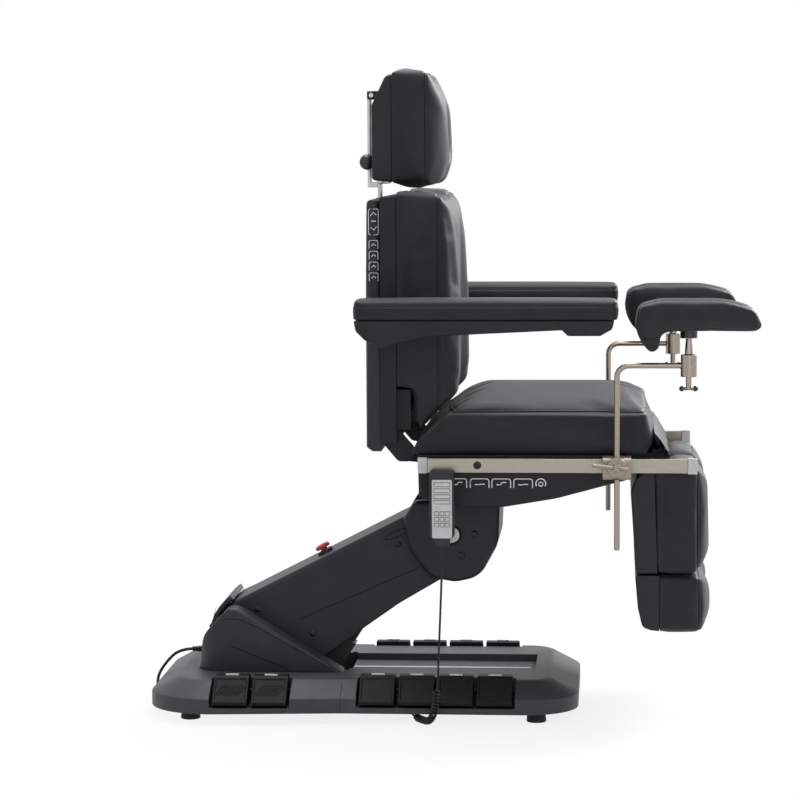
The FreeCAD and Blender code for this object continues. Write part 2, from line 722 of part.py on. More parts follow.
def make_actuator():
    length = (ACT_EYE - ACT_PIVOT).Length
    eye = bar_y(0, 0, ACT_EYE_R, ACT_EYE_HALF)
    stem = box(-ACT_EYE_R / 2, ACT_EYE_R / 2, -ACT_EYE_HALF, ACT_EYE_HALF, 0, ACT_BOX_START + 2)
    box_end = ACT_BOX_START + ACT_BOX_LENGTH
    housing = box(-ACT_BOX_HALF, ACT_BOX_HALF, -ACT_BOX_HALF, ACT_BOX_HALF, ACT_BOX_START, box_end)
    tube = Part.makeCylinder(ACT_TUBE_R, ACT_TUBE_END - box_end, V(0, 0, box_end))
    motor = Part.makeCylinder(ACT_MOTOR_R, ACT_MOTOR_LENGTH,
                              V(0, ACT_BOX_HALF, box_end - ACT_MOTOR_R - 4), V(0, 1, 0))
    body = union([eye, stem, housing, tube, motor])
    bore = Part.makeCylinder(ACT_ROD_R + RUN_FIT, ACT_TUBE_END, V(0, 0, box_end))
    keep("lift_actuator", leaned(body.cut([bore, bar_y(0, 0, ACT_PIN_R + RUN_FIT, ACT_BOX_HALF)])),
         ACT_PIVOT)
    rod = Part.makeCylinder(ACT_ROD_R, ACT_ROD_LENGTH, V(0, 0, length - ACT_ROD_LENGTH))
    rod_eye = bar_y(0, length, ACT_EYE_R, ACT_EYE_HALF).cut(bar_y(0, length, ACT_PIN_R, ACT_BOX_HALF))
    rod = rod.cut(bar_y(0, length, ACT_EYE_R - 1, ACT_BOX_HALF))
    keep("lift_actuator_rod", leaned(union([rod, rod_eye])), ACT_PIVOT)


# Head housing: a fork over the arm's tongue with a neck that carries the seat's tilt pin.
def make_head():
    profile = [(-HEAD_REAR, 34, 16), (-HEAD_REAR + 24, HEAD_TOP, 22), (HEAD_FRONT, HEAD_TOP, 14),
               (HEAD_FRONT - 4, -20, 70), (62, -HEAD_BOTTOM + 6, 60), (8, -HEAD_BOTTOM - 6, 60),
               (-48, -HEAD_BOTTOM + 4, 50), (-92, -36, 40), (-HEAD_REAR + 8, -4, 8)]
    profile.reverse()
    cheeks = prism(profile, "xz", -HEAD_HALF, HEAD_HALF)
    slot_half = ARM_HALF + HEAD_SLOT_GAP
    slot = box(-2 * HEAD_REAR, HEAD_WEB_FRONT, -slot_half, slot_half, -2 * HEAD_BOTTOM, HEAD_WEB_Z)
    behind = box(-2 * HEAD_REAR, HEAD_WEB_REAR, -slot_half, slot_half, -2 * HEAD_BOTTOM, 2 * HEAD_TOP)
    web = box(HEAD_WEB_REAR, HEAD_FRONT - 10, -HEAD_HALF + 10, HEAD_HALF - 10, HEAD_WEB_Z, HEAD_WEB_TOP)
    neck = box(NECK_REAR, NECK_FRONT, -NECK_HALF, NECK_HALF, HEAD_WEB_TOP - 1, NECK_TOP)
    neck = neck.cut(box(NECK_REAR - 1, HEAD_WEB_REAR, -NECK_HALF, NECK_HALF, HEAD_WEB_TOP - 2,
                        HEAD_WEB_TOP + 10))
    head = union([cheeks.cut([slot, behind]), web, neck])
    head = head.cut([bar_y(TILT_X, TILT_Z, TILT_PIN_R + RUN_FIT, HEAD_HALF),
                     bar_y(0, 0, UPPER_SHAFT_R + RUN_FIT, HEAD_HALF + 1)])
    keep("head_housing", head, HEAD_PIVOT)


# Seat frame: box beams, lugs round the tilt pin, ears for the back and for the leg rests, rail standoffs.
def seat_ear(side, x, z, root_x):
    low = SEAT_BASE_Z - BEAM + 4
    neck = [(root_x, low), (x, z - EAR_R), (x, SEAT_BASE_Z - 1), (root_x, SEAT_BASE_Z - 1)]
    if x < root_x:
        neck.reverse()
    disc = rod_y(side, x, z, EAR_R, EAR_IN, EAR_IN + EAR_THICK)
    return side_prism(side, neck, EAR_IN, EAR_IN + EAR_THICK).fuse(disc)


def make_seat_frame():
    top = SEAT_BASE_Z
    low = top - BEAM
    inner = BEAM_OUT - BEAM
    beam_rear = SEAT_REAR + 12
    beam_front = COVER_FRONT + 24
    pieces = []
    for side in SIDES:
        pieces.append(side_box(side, beam_rear, beam_front, inner, BEAM_OUT, low, top))
    for x in (beam_rear, beam_front - BEAM):
        pieces.append(box(x, x + BEAM, -inner, inner, low, top))
    pieces.append(box(NECK_REAR - 6, NECK_FRONT + 6, -inner, inner, top - BEAM / 2, top))
    lug_in = NECK_HALF + TILT_LUG_GAP
    lug_out = lug_in + TILT_LUG_THICK
    lug = [(TILT_X - 28, TILT_Z - 22, 16), (TILT_X + 28, TILT_Z - 22, 16), (NECK_FRONT + 4, top - 4),
           (NECK_REAR - 4, top - 4)]
    for side in SIDES:
        pieces.append(side_prism(side, lug, lug_in, lug_out))
        pieces.append(seat_ear(side, RECLINE_X, RECLINE_Z, beam_rear + BEAM / 2))
        pieces.append(seat_ear(side, LEG_X, LEG_Z, beam_front - BEAM / 2))
        for x in STANDOFFS:
            pieces.append(rod_y(side, x, STANDOFF_Z, STANDOFF_R, inner + BEAM / 2, RAIL_IN))
    frame = union(pieces + [bar_y(TILT_X, TILT_Z, TILT_PIN_R, lug_out)])
    frame = frame.cut([bar_y(RECLINE_X, RECLINE_Z, EAR_PIN_R + RUN_FIT, SEAT_HALF),
                       bar_y(LEG_X, LEG_Z, LEG_BAR_R + RUN_FIT, SEAT_HALF)])
    keep("seat_frame", frame, HEAD_PIVOT)


def cover_profile(inset, top):
    return [(SEAT_REAR + 4 + inset, top), (SEAT_REAR + 6 + inset, COVER_REAR_Z + inset, 10),
            (29, COVER_DIP_Z + inset, 90), (120, COVER_DIP_Z + inset, 90),
            (234, COVER_REAR_Z + inset, 200),
            (COVER_FRONT - inset, COVER_FRONT_Z + inset, 8), (COVER_FRONT - inset, top)]


def make_undercover():
    top = SEAT_BASE_Z
    shell = prism(cover_profile(0, top), "xz", -COVER_HALF, COVER_HALF)
    hollow = prism(cover_profile(COVER_WALL, top + 1), "xz", -COVER_HALF + COVER_WALL,
                   COVER_HALF - COVER_WALL)
    mouth = box(-HEAD_REAR, HEAD_FRONT + COVER_MOUTH_GAP, -HEAD_HALF - COVER_MOUTH_GAP,
                HEAD_HALF + COVER_MOUTH_GAP,
                0, HEAD_WEB_TOP + 2 * COVER_MOUTH_GAP)
    cuts = [hollow, mouth]
    ear_low = SEAT_BASE_Z - BEAM - EAR_R / 2
    cuts.append(box(COVER_FRONT - 2 * COVER_WALL, COVER_FRONT + 1, -SEAT_HALF, SEAT_HALF, COVER_FRONT_TOP,
                    top + 1))
    for side in SIDES:
        cuts.append(side_box(side, 2 * SEAT_REAR, SEAT_REAR + 40, EAR_IN - HINGE_GAP,
                             EAR_IN + 2 * EAR_THICK + 2 * HINGE_GAP,
                             ear_low, top + 1))
        for x in STANDOFFS:
            cuts.append(rod_y(side, x, STANDOFF_Z, STANDOFF_R + 1, RAIL_IN - 40, RAIL_IN + 1))
    keep("seat_undercover", shell.cut(cuts), HEAD_PIVOT)


# Seat cushion: bevelled at the back, crowned on top, its sides drawn in between the corners.
def make_seat_cushion():
    tail = SEAT_REAR - SEAT_TAIL
    side_view = [(tail, SEAT_BASE_Z + SEAT_TAIL_Z, 5), (tail + 5, SEAT_BASE_Z, 4),
                 (SEAT_FRONT - 8, SEAT_BASE_Z, 26),
                 (SEAT_FRONT, SEAT_BASE_Z + 58, 60),
                 (SEAT_FRONT - 10, SEAT_TOP_Z, 28), (SEAT_BEVEL_X, SEAT_TOP_Z, 60)]
    end_view = [(-SEAT_HALF + 3, SEAT_BASE_Z, 6), (SEAT_HALF - 3, SEAT_BASE_Z, 6),
                (SEAT_HALF, SEAT_SEAM_Z, 0, SEAT_TOP_Z - SEAT_SEAM_Z), (-SEAT_HALF, SEAT_SEAM_Z)]
    rear = tail - 1
    front = SEAT_FRONT + 1
    plan = [(rear, -SEAT_HALF, 12, -SEAT_DRAWN_IN), (front, -SEAT_HALF, 40),
            (front, SEAT_HALF, 40, -SEAT_DRAWN_IN),
            (rear, SEAT_HALF, 12)]
    block = prism(side_view, "xz", -SEAT_HALF - 1, SEAT_HALF + 1)
    block = block.common(prism(end_view, "yz", rear, front))
    block = block.common(prism(plan, "xy", SEAT_BASE_Z - 1, SEAT_TOP_Z + 1))
    hinges = [side_box(side, 2 * SEAT_REAR, RECLINE_X + EAR_R + 2 * HINGE_GAP, EAR_IN - HINGE_GAP,
                       EAR_IN + 2 * EAR_THICK + 2 * HINGE_GAP, SEAT_BASE_Z - 1,
                       RECLINE_Z + EAR_R + 2 * HINGE_GAP) for side in SIDES]
    keep("seat_cushion", block.cut(hinges), HEAD_PIVOT)


def make_rails():
    rails = []
    for side in SIDES:
        outer = RAIL_IN + RAIL_THICK
        rails.append(side_box(side, RAIL_REAR + RAIL_CAP, RAIL_FRONT - RAIL_CAP, RAIL_IN, outer, RAIL_Z,
                              RAIL_Z + RAIL_HEIGHT))
        for x in (RAIL_REAR, RAIL_FRONT - RAIL_CAP):
            rails.append(side_box(side, x, x + RAIL_CAP, RAIL_IN - RAIL_CAP_PROUD, outer + RAIL_CAP_PROUD,
                                  RAIL_Z - RAIL_CAP_PROUD, RAIL_Z + RAIL_HEIGHT + RAIL_CAP_PROUD))
    keep("side_rails", Part.makeCompound(rails), HEAD_PIVOT)


# Back group, about the recline pivot.
def make_back():
    shell_profile = [(-BACK_SHELL_REAR, BACK_SHELL_LOW + 8, 7),
                     (-BACK_SHELL_REAR + 14, BACK_SHELL_LOW, 6),
                     (BACK_FRAME_REAR, BACK_SHELL_LOW),
                     (BACK_FRAME_REAR, BACK_SHELL_TOP), (-BACK_SHELL_REAR + 3, BACK_SHELL_TOP, 10),
                     (-BACK_SHELL_REAR, 343, 400)]
    outer = prism(shell_profile, "xz", -BACK_SHELL_HALF, BACK_SHELL_HALF)
    plan = [(-BACK_SHELL_REAR - 1, -BACK_SHELL_HALF, 40), (BACK_FRAME_REAR, -BACK_SHELL_HALF),
            (BACK_FRAME_REAR, BACK_SHELL_HALF),
            (-BACK_SHELL_REAR - 1, BACK_SHELL_HALF, 40)]
    outer = outer.common(prism(plan, "xy", 0, BACK_TOP))
    wall = BACK_SHELL_WALL
    hollow = box(-BACK_SHELL_REAR + wall + 2, BACK_FRAME_REAR + 1, -BACK_SHELL_HALF + 20,
                 BACK_SHELL_HALF - 20,
                 BACK_SHELL_LOW + 40, BACK_SHELL_TOP - wall)
    post_slot = box(POST_X - POST_THICK, POST_X + POST_THICK, -POST_HALF - 3, POST_HALF + 3,
                    BACK_SHELL_TOP - 30, BACK_TOP)
    keep("back_shell", outer.cut([hollow, post_slot]), RECLINE_PIVOT)

    ear_in = EAR_IN + EAR_THICK + 1
    ear = [(BACK_FRAME_REAR, 90), (BACK_FRAME_REAR + 4, 20, 20), (-EAR_R + 2, -EAR_R, 15),
           (EAR_R, -EAR_R, EAR_R - 1),
           (EAR_R, EAR_R - 4, EAR_R - 5), (BACK_REAR - 4, 60)]
    board = box(BACK_FRAME_REAR, BACK_REAR, -BACK_FRAME_HALF, BACK_FRAME_HALF, BOARD_LOW, BACK_FRAME_TOP)
    lumbar = BACK_FRAME_HALF - LUMBAR_INSET
    filler = box(BACK_REAR - 1, LUMBAR_FRONT, -lumbar, lumbar, LUMBAR_LOW, BACK_LOW - 2)
    pieces = [board, filler]
    for side in SIDES:
        pieces.append(side_prism(side, ear, ear_in, ear_in + EAR_THICK))
        pieces.append(rod_y(side, 0, 0, EAR_PIN_R, EAR_IN - 4, ear_in + EAR_THICK))
        pieces.append(rod_y(side, ARMREST_X, ARMREST_Z, ARMREST_STUB_R, BACK_FRAME_HALF - 20,
                            ARMREST_IN + ARMREST_STUB_IN))
    guide = box(POST_X - POST_THICK, BACK_FRAME_REAR + 1, -POST_HALF - 8, POST_HALF + 8,
                BACK_SHELL_TOP - 110, BACK_SHELL_TOP - 34)
    slot = box(POST_X - POST_THICK / 2 - SLIDE_GAP, POST_X + POST_THICK / 2 + SLIDE_GAP,
               -POST_HALF - SLIDE_GAP, POST_HALF + SLIDE_GAP,
               0, BACK_TOP)
    keep("back_frame", union(pieces + [guide]).cut(slot), RECLINE_PIVOT)

    side_view = [(BACK_REAR, BACK_LOW, 6), (BACK_REAR + 40, BACK_LOW, 6), (14, 84), (24, 42, 6),
                 (BACK_FRONT, 126, 10),
                 (BACK_FRONT, 330, 300), (BACK_FRONT - 9, 467, 200), (BACK_FRONT - 28, BACK_TOP - 14, 24),
                 (60, BACK_TOP, 14),
                 (BACK_REAR + 8, BACK_TOP - 4, 10), (BACK_REAR, BACK_TOP - 20, 8)]
    lobe = BACK_FRONT + 1
    dip = BACK_FRONT - BACK_RECESS
    plan = [(BACK_REAR - 1, -BACK_HALF + 8, 10), (BACK_SEAM, -BACK_HALF, 8), (lobe, -BACK_HALF + 24, 30),
            (lobe, -BACK_LOBE_IN - 34, 24), (dip, -BACK_LOBE_IN, 10, BACK_RECESS / 3),
            (dip, BACK_LOBE_IN, 10), (lobe, BACK_LOBE_IN + 34, 24),
            (lobe, BACK_HALF - 24, 30), (BACK_SEAM, BACK_HALF, 8), (BACK_REAR - 1, BACK_HALF - 8, 10)]
    front_view = [(-BACK_HALF, 0), (BACK_HALF, 0, 0, -BACK_DRAWN_IN), (BACK_HALF, BACK_TOP, 40),
                  (-BACK_HALF, BACK_TOP, 40, -BACK_DRAWN_IN)]
    cushion = prism(side_view, "xz", -BACK_HALF - 1,
                    BACK_HALF + 1).common(prism(plan, "xy", 0, BACK_TOP + 1))
    cushion = cushion.common(prism(front_view, "yz", BACK_REAR - 2, lobe + 1))
    notch = box(BACK_REAR - 1, lobe, -BACK_NOTCH_HALF, BACK_NOTCH_HALF, BACK_NOTCH_Z, BACK_TOP + 1)
    keep("back_cushion", cushion.cut(notch), RECLINE_PIVOT)


# Armrests, about their pivots.
def make_armrests():
    half = ARMREST_WIDTH / 2
    middle = ARMREST_IN + half
    pad_side = [(ARMREST_REAR, ARMREST_PAD_Z, 8), (ARMREST_FRONT, ARMREST_PAD_Z, 8),
                (ARMREST_FRONT, ARMREST_TOP, 18),
                (ARMREST_REAR, ARMREST_TOP, 20)]
    low = ARMREST_PAD_Z - 2
    shell_side = [(ARMREST_REAR + 6, low), (ARMREST_REAR + 10, -4, 14), (ARMREST_REAR + 30, -24, 24),
                  (-4, -ARMREST_ELBOW, 26),
                  (26, -28, 40), (90, -15, 60), (370, -2, 4), (382, -14, 8), (450, -14, 8),
                  (ARMREST_FRONT - 16, 0, 12),
                  (ARMREST_FRONT - 12, low)]
    for side in SIDES:
        y = SIDES[side] * middle
        end_view = [(y - half + 1, ARMREST_PAD_Z), (y + half - 1, ARMREST_PAD_Z),
                    (y + half, ARMREST_SEAM, 0, ARMREST_TOP - ARMREST_SEAM),
                    (y - half, ARMREST_SEAM)]
        plan = [(ARMREST_REAR - 1, y - half, 26), (ARMREST_FRONT + 1, y - half, 26),
                (ARMREST_FRONT + 1, y + half, 26),
                (ARMREST_REAR - 1, y + half, 26)]
        pad = prism(pad_side, "xz", y - half - 1, y + half + 1).common(prism(end_view, "yz",
                                                                             ARMREST_REAR - 1,
                                                                             ARMREST_FRONT + 1))
        pad = pad.common(prism(plan, "xy", 0, ARMREST_TOP + 1))
        keep("armrest_pad_" + side, pad, ARMREST_PIVOT)
        inner = ARMREST_IN + ARMREST_SHELL_IN
        shell = side_prism(side, shell_side, inner, ARMREST_IN + ARMREST_WIDTH - ARMREST_SHELL_IN)
        plate = box(ARMREST_REAR + 20, ARMREST_FRONT - 24, y - half + 8, y + half - 8, low - 1,
                    ARMREST_PAD_Z)
        bore = rod_y(side, 0, 0, ARMREST_STUB_R + RUN_FIT, inner - 1,
                     ARMREST_IN + ARMREST_STUB_IN + SLIDE_GAP)
        keep("armrest_shell_" + side, union([shell, plate]).cut(bore), ARMREST_PIVOT)


# Headrest: a post and plate that slide in the back, and a shell with its cushion that tilts on the
# plate's top pin.
def make_headrest():
    shift = V(HEADREST_PIVOT_X, 0, HEADREST_PIVOT_Z)
    post = box(POST_X - POST_THICK / 2, POST_X + POST_THICK / 2, -POST_HALF, POST_HALF,
               POST_TOP - POST_LENGTH, POST_TOP)
    post.translate(V(0, 0, 0) - shift)
    foot_z = POST_TOP - HEADREST_PIVOT_Z
    post_x = POST_X - HEADREST_PIVOT_X
    thick = HEADREST_PLATE_THICK
    plate_x = -thick - 4
    plate = prism([(-HEADREST_PLATE_HALF, foot_z - 12), (HEADREST_PLATE_HALF, foot_z - 12),
                   (HEADREST_PLATE_HALF, HEADREST_PLATE_R, 20),
                   (-HEADREST_PLATE_HALF, HEADREST_PLATE_R, 20)], "yz", plate_x, plate_x + thick)
    bridge = box(plate_x, post_x + POST_THICK / 2, -HEADREST_PLATE_HALF, HEADREST_PLATE_HALF, foot_z - 12,
                 foot_z)
    barrels = [bar_y(post_x + 2, foot_z + 4, 8, HEADREST_PLATE_HALF + 8),
               bar_y(post_x + 18, foot_z + 3, 7, HEADREST_PLATE_HALF)]
    barrel_web = box(post_x, post_x + 18, -HEADREST_PLATE_HALF, HEADREST_PLATE_HALF, foot_z - 4,
                     foot_z + 2)
    pivot_block = box(plate_x + 1, HEADREST_PIN_R, -HEADREST_PLATE_HALF + 6, HEADREST_PLATE_HALF - 6,
                      -HEADREST_PIN_R, HEADREST_PIN_R)
    pin = bar_y(0, 0, HEADREST_PIN_R, HEADREST_PLATE_HALF + 16)
    boss_z = KNOB_CENTRE.z - HEADREST_PIVOT.z
    boss_x = KNOB_CENTRE.x - HEADREST_PIVOT.x
    boss = box(boss_x - 9, boss_x + 9, -HEADREST_PLATE_HALF - 3, -6, boss_z - 9, boss_z + 9)
    boss = boss.cut(Part.makeCylinder(KNOB_STEM_R + RUN_FIT, 60,
                                      V(boss_x, -HEADREST_PLATE_HALF - 10, boss_z), V(0, 1, 0)))
    bracket = union([post, plate, bridge, barrel_web, pivot_block, pin] + barrels)
    hole = Part.makeCylinder(KNOB_STEM_R + RUN_FIT, 40, V(boss_x, -HEADREST_PLATE_HALF - 10, boss_z),
                             V(0, 1, 0))
    keep("headrest_bracket", union([bracket, boss]).cut(hole), HEADREST_PIVOT)
    face = -HEADREST_PLATE_HALF - 3 - SLIDE_GAP
    knob = Part.makeCylinder(KNOB_R, KNOB_LENGTH, V(boss_x, face, boss_z), V(0, -1, 0))
    knob = knob.makeFillet(9, [edge for edge in knob.Edges
                               if abs(edge.CenterOfMass.y - face + KNOB_LENGTH) < 0.1])
    stem = Part.makeCylinder(KNOB_STEM_R, 16, V(boss_x, face + 15, boss_z), V(0, -1, 0))
    keep("headrest_knob", union([knob, stem]), HEADREST_PIVOT)

    rear = HEADREST_SHELL_REAR
    low = HEADREST_BOTTOM + 12
    shell_side = [(rear, low + 4, 8), (HEADREST_REAR, low), (HEADREST_REAR, 44), (38, 40, 20),
                  (rear, -22, 14)]
    shell = prism(shell_side, "xz", -HEADREST_SHELL_HALF, HEADREST_SHELL_HALF)
    hollow = box(rear - 1, HEADREST_REAR - 8, -HEADREST_PLATE_HALF - 16, HEADREST_PLATE_HALF + 16,
                 low - 1, 30)
    shell = shell.cut(hollow)
    ears = []
    for side in SIDES:
        ear = side_box(side, -HEADREST_PIN_R - 4, HEADREST_REAR - 9, HEADREST_PLATE_HALF + 2,
                       HEADREST_PLATE_HALF + 17, -9, 9)
        ears.append(ear.cut(rod_y(side, 0, 0, HEADREST_PIN_R + RUN_FIT, 0, HEADREST_PLATE_HALF + 18)))
    keep("headrest_shell", union([shell] + ears).cut(bar_y(0, 0, HEADREST_PIN_R + RUN_FIT,
                                                           HEADREST_PLATE_HALF + 16.5)), HEADREST_PIVOT)

    side_view = [(HEADREST_REAR, HEADREST_BOTTOM + 4, 14), (HEADREST_FRONT - 8, HEADREST_BOTTOM, 26),
                 (HEADREST_FRONT, -140, 90),
                 (HEADREST_FRONT - 6, -20, 140), (HEADREST_SEAM + 5, HEADREST_TOP + 1, 22),
                 (HEADREST_REAR, HEADREST_TOP, 14)]
    crown = HEADREST_FRONT + 2
    plan = [(HEADREST_REAR - 1, -HEADREST_HALF + 7, 14), (HEADREST_SEAM, -HEADREST_HALF, 10),
            (crown, -95, 60), (crown, 95, 60),
            (HEADREST_SEAM, HEADREST_HALF, 10), (HEADREST_REAR - 1, HEADREST_HALF - 7, 14)]
    front_view = [(-HEADREST_HALF - 1, HEADREST_BOTTOM - 1, 34),
                  (HEADREST_HALF + 1, HEADREST_BOTTOM - 1, 34),
                  (HEADREST_HALF + 1, HEADREST_TOP + 3, 34), (-HEADREST_HALF - 1, HEADREST_TOP + 3, 34)]
    cushion = prism(side_view, "xz", -HEADREST_HALF - 1, HEADREST_HALF + 1)
    cushion = cushion.common(prism(plan, "xy", HEADREST_BOTTOM - 1, HEADREST_TOP + 3))
    cushion = cushion.common(prism(front_view, "yz", 0, crown + 1))
    oval = Part.Ellipse(V(0, 0, 0), FACE_LENGTH / 2, FACE_WIDTH / 2).toShape()
    oval.rotate(V(0, 0, 0), V(0, 1, 0), 90)
    oval.translate(V(HEADREST_FRONT - FACE_DEPTH, 0, (HEADREST_TOP + HEADREST_BOTTOM) / 2 - 6))
    recess = Part.Face(Part.Wire([oval])).extrude(V(FACE_DEPTH + 10, 0, 0))
    keep("headrest_cushion", cushion.cut(recess), HEADREST_PIVOT)


# Leg rests, about their hinge: one frame, two shells and two cushions, with a foot rest sliding out of
# each.
def split_x(z):
    share = (z - LEG_HEEL) / (LEG_BOTTOM - LEG_HEEL)
    return LEG_SPLIT_TOP + share * (LEG_SPLIT_LOW - LEG_SPLIT_TOP)


def leg_cushion(side):
    middle = SIDES[side] * (LEG_OUT + LEG_IN) / 2
    half = (LEG_OUT - LEG_IN) / 2
    side_view = [(LEG_SPLIT_LOW, LEG_BOTTOM, 6), (LEG_FRONT - 8, LEG_BOTTOM, 14),
                 (LEG_FRONT, LEG_BOTTOM + 46, 60),
                 (LEG_FRONT - 5, LEG_TOP - 42, 60), (LEG_SEAM, LEG_TOP, 20), (36, LEG_TOP, 10),
                 (18, LEG_HEEL, 6), (LEG_SPLIT_TOP, LEG_HEEL, 4)]
    plan = [(LEG_SPLIT_TOP - 1, middle - half + 3),
            (LEG_SEAM - 4, middle - half, 0, LEG_FRONT - LEG_SEAM + 4),
            (LEG_SEAM - 4, middle + half), (LEG_SPLIT_TOP - 1, middle + half - 3)]
    front_view = [(middle - half - 1, LEG_BOTTOM - 1, 16), (middle + half + 1, LEG_BOTTOM - 1, 16),
                  (middle + half + 1, LEG_TOP + 1, 30),
                  (middle - half - 1, LEG_TOP + 1, 30)]
    cushion = prism(side_view, "xz", middle - half - 1, middle + half + 1)
    cushion = cushion.common(prism(plan, "xy", LEG_BOTTOM - 1, LEG_TOP + 1))
    return cushion.common(prism(front_view, "yz", LEG_SPLIT_TOP - 2, LEG_FRONT + 2))


def make_legs():
    shells = []
    frame = [bar_y(0, 0, LEG_BAR_R, LEG_BAR_HALF)]
    bores = []
    post_half = LEG_POST / 2
    bore_half = LEG_POST_BORE / 2
    post_top = LEG_HEEL - 6
    for side in SIDES:
        wall = LEG_SHELL_WALL
        profile = [(-54, LEG_BOTTOM + 2, 12), (split_x(LEG_BOTTOM + 2), LEG_BOTTOM + 2),
                   (LEG_SPLIT_TOP, LEG_HEEL - 2), (-48, LEG_HEEL - 2, 20),
                   (LEG_SHELL_REAR, LEG_HEEL - 40, 40)]
        shell = side_prism(side, profile, LEG_IN + 4, LEG_OUT - 4)
        hollow = side_box(side, LEG_POST_X - post_half - SLIDE_GAP, 0, LEG_IN + 4 + wall,
                          LEG_OUT - 4 - wall, LEG_BOTTOM + 2 + wall, LEG_HEEL - 2 - wall)
        y = SIDES[side] * LEG_POST_Y
        post_gap = box(LEG_POST_X - post_half - SLIDE_GAP, 20, y - post_half - SLIDE_GAP,
                       y + post_half + SLIDE_GAP, 2 * LEG_BOTTOM, 20)
        shells.append(shell.cut([hollow, post_gap]))
        frame.append(box(LEG_POST_X - post_half, LEG_POST_X + post_half, y - post_half, y + post_half,
                         LEG_BOTTOM + 4, post_top))
        neck = [(LEG_POST_X - post_half, post_top - 30), (LEG_POST_X + 10, post_top - 30),
                (LEG_POST_X + post_half, post_top + 4),
                (4, -9), (-4, 9), (LEG_POST_X - 6, post_top + 18)]
        frame.append(prism(neck, "xz", y - 10, y + 10))
        bores.append(box(LEG_POST_X - bore_half, LEG_POST_X + bore_half, y - bore_half, y + bore_half,
                         LEG_BOTTOM, post_top - 32))
    keep("leg_shells", Part.makeCompound(shells), LEG_PIVOT)
    keep("leg_frame", union(frame).cut(bores), LEG_PIVOT)
    keep("leg_cushions", Part.makeCompound([leg_cushion(side) for side in SIDES]), LEG_PIVOT)


def make_feet():
    top = LEG_BOTTOM - BODY_GAP
    for side in SIDES:
        shell_side = [(FOOT_REAR, top, 4), (FOOT_REAR + 6, top - 70, 60),
                      (FOOT_REAR + 16, FOOT_BOTTOM + 16, 16),
                      (FOOT_REAR + 34, FOOT_BOTTOM + 10, 10), (FOOT_SPLIT, FOOT_BOTTOM + 8),
                      (FOOT_SPLIT, top)]
        shell = side_prism(side, shell_side, LEG_IN + 4, LEG_OUT - 4)
        half = FOOT_BAR / 2
        y = SIDES[side] * LEG_POST_Y
        bar = box(LEG_POST_X - half, LEG_POST_X + half, y - half, y + half, top - 20, FOOT_BAR_TOP)
        keep("foot_shell_" + side, union([shell, bar]), LEG_PIVOT)
        middle = SIDES[side] * (LEG_OUT + LEG_IN) / 2
        wide = (LEG_OUT - LEG_IN) / 2
        side_view = [(FOOT_SPLIT, FOOT_BOTTOM + 6, 6), (FOOT_SPLIT + 8, FOOT_BOTTOM, 4),
                     (FOOT_FRONT - 14, FOOT_BOTTOM + 2, 14),
                     (FOOT_FRONT, FOOT_BOTTOM + 40, 30), (FOOT_FRONT, top - 34, 20),
                     (FOOT_FRONT - 12, top, 12), (FOOT_SPLIT, top, 3)]
        plan = [(FOOT_SPLIT - 1, middle - wide + 2), (FOOT_FRONT - 22, middle - wide, 0, 23),
                (FOOT_FRONT - 22, middle + wide),
                (FOOT_SPLIT - 1, middle + wide - 2)]
        front_view = [(middle - wide - 1, FOOT_BOTTOM - 1, 30), (middle + wide + 1, FOOT_BOTTOM - 1, 30),
                      (middle + wide + 1, top + 1, 14),
                      (middle - wide - 1, top + 1, 14)]
        cushion = prism(side_view, "xz", middle - wide - 1, middle + wide + 1)
        cushion = cushion.common(prism(plan, "xy", FOOT_BOTTOM - 2, top + 1))
        keep("foot_cushion_" + side, cushion.common(prism(front_view, "yz", FOOT_SPLIT - 2,
                                                          FOOT_FRONT + 2)), LEG_PIVOT)


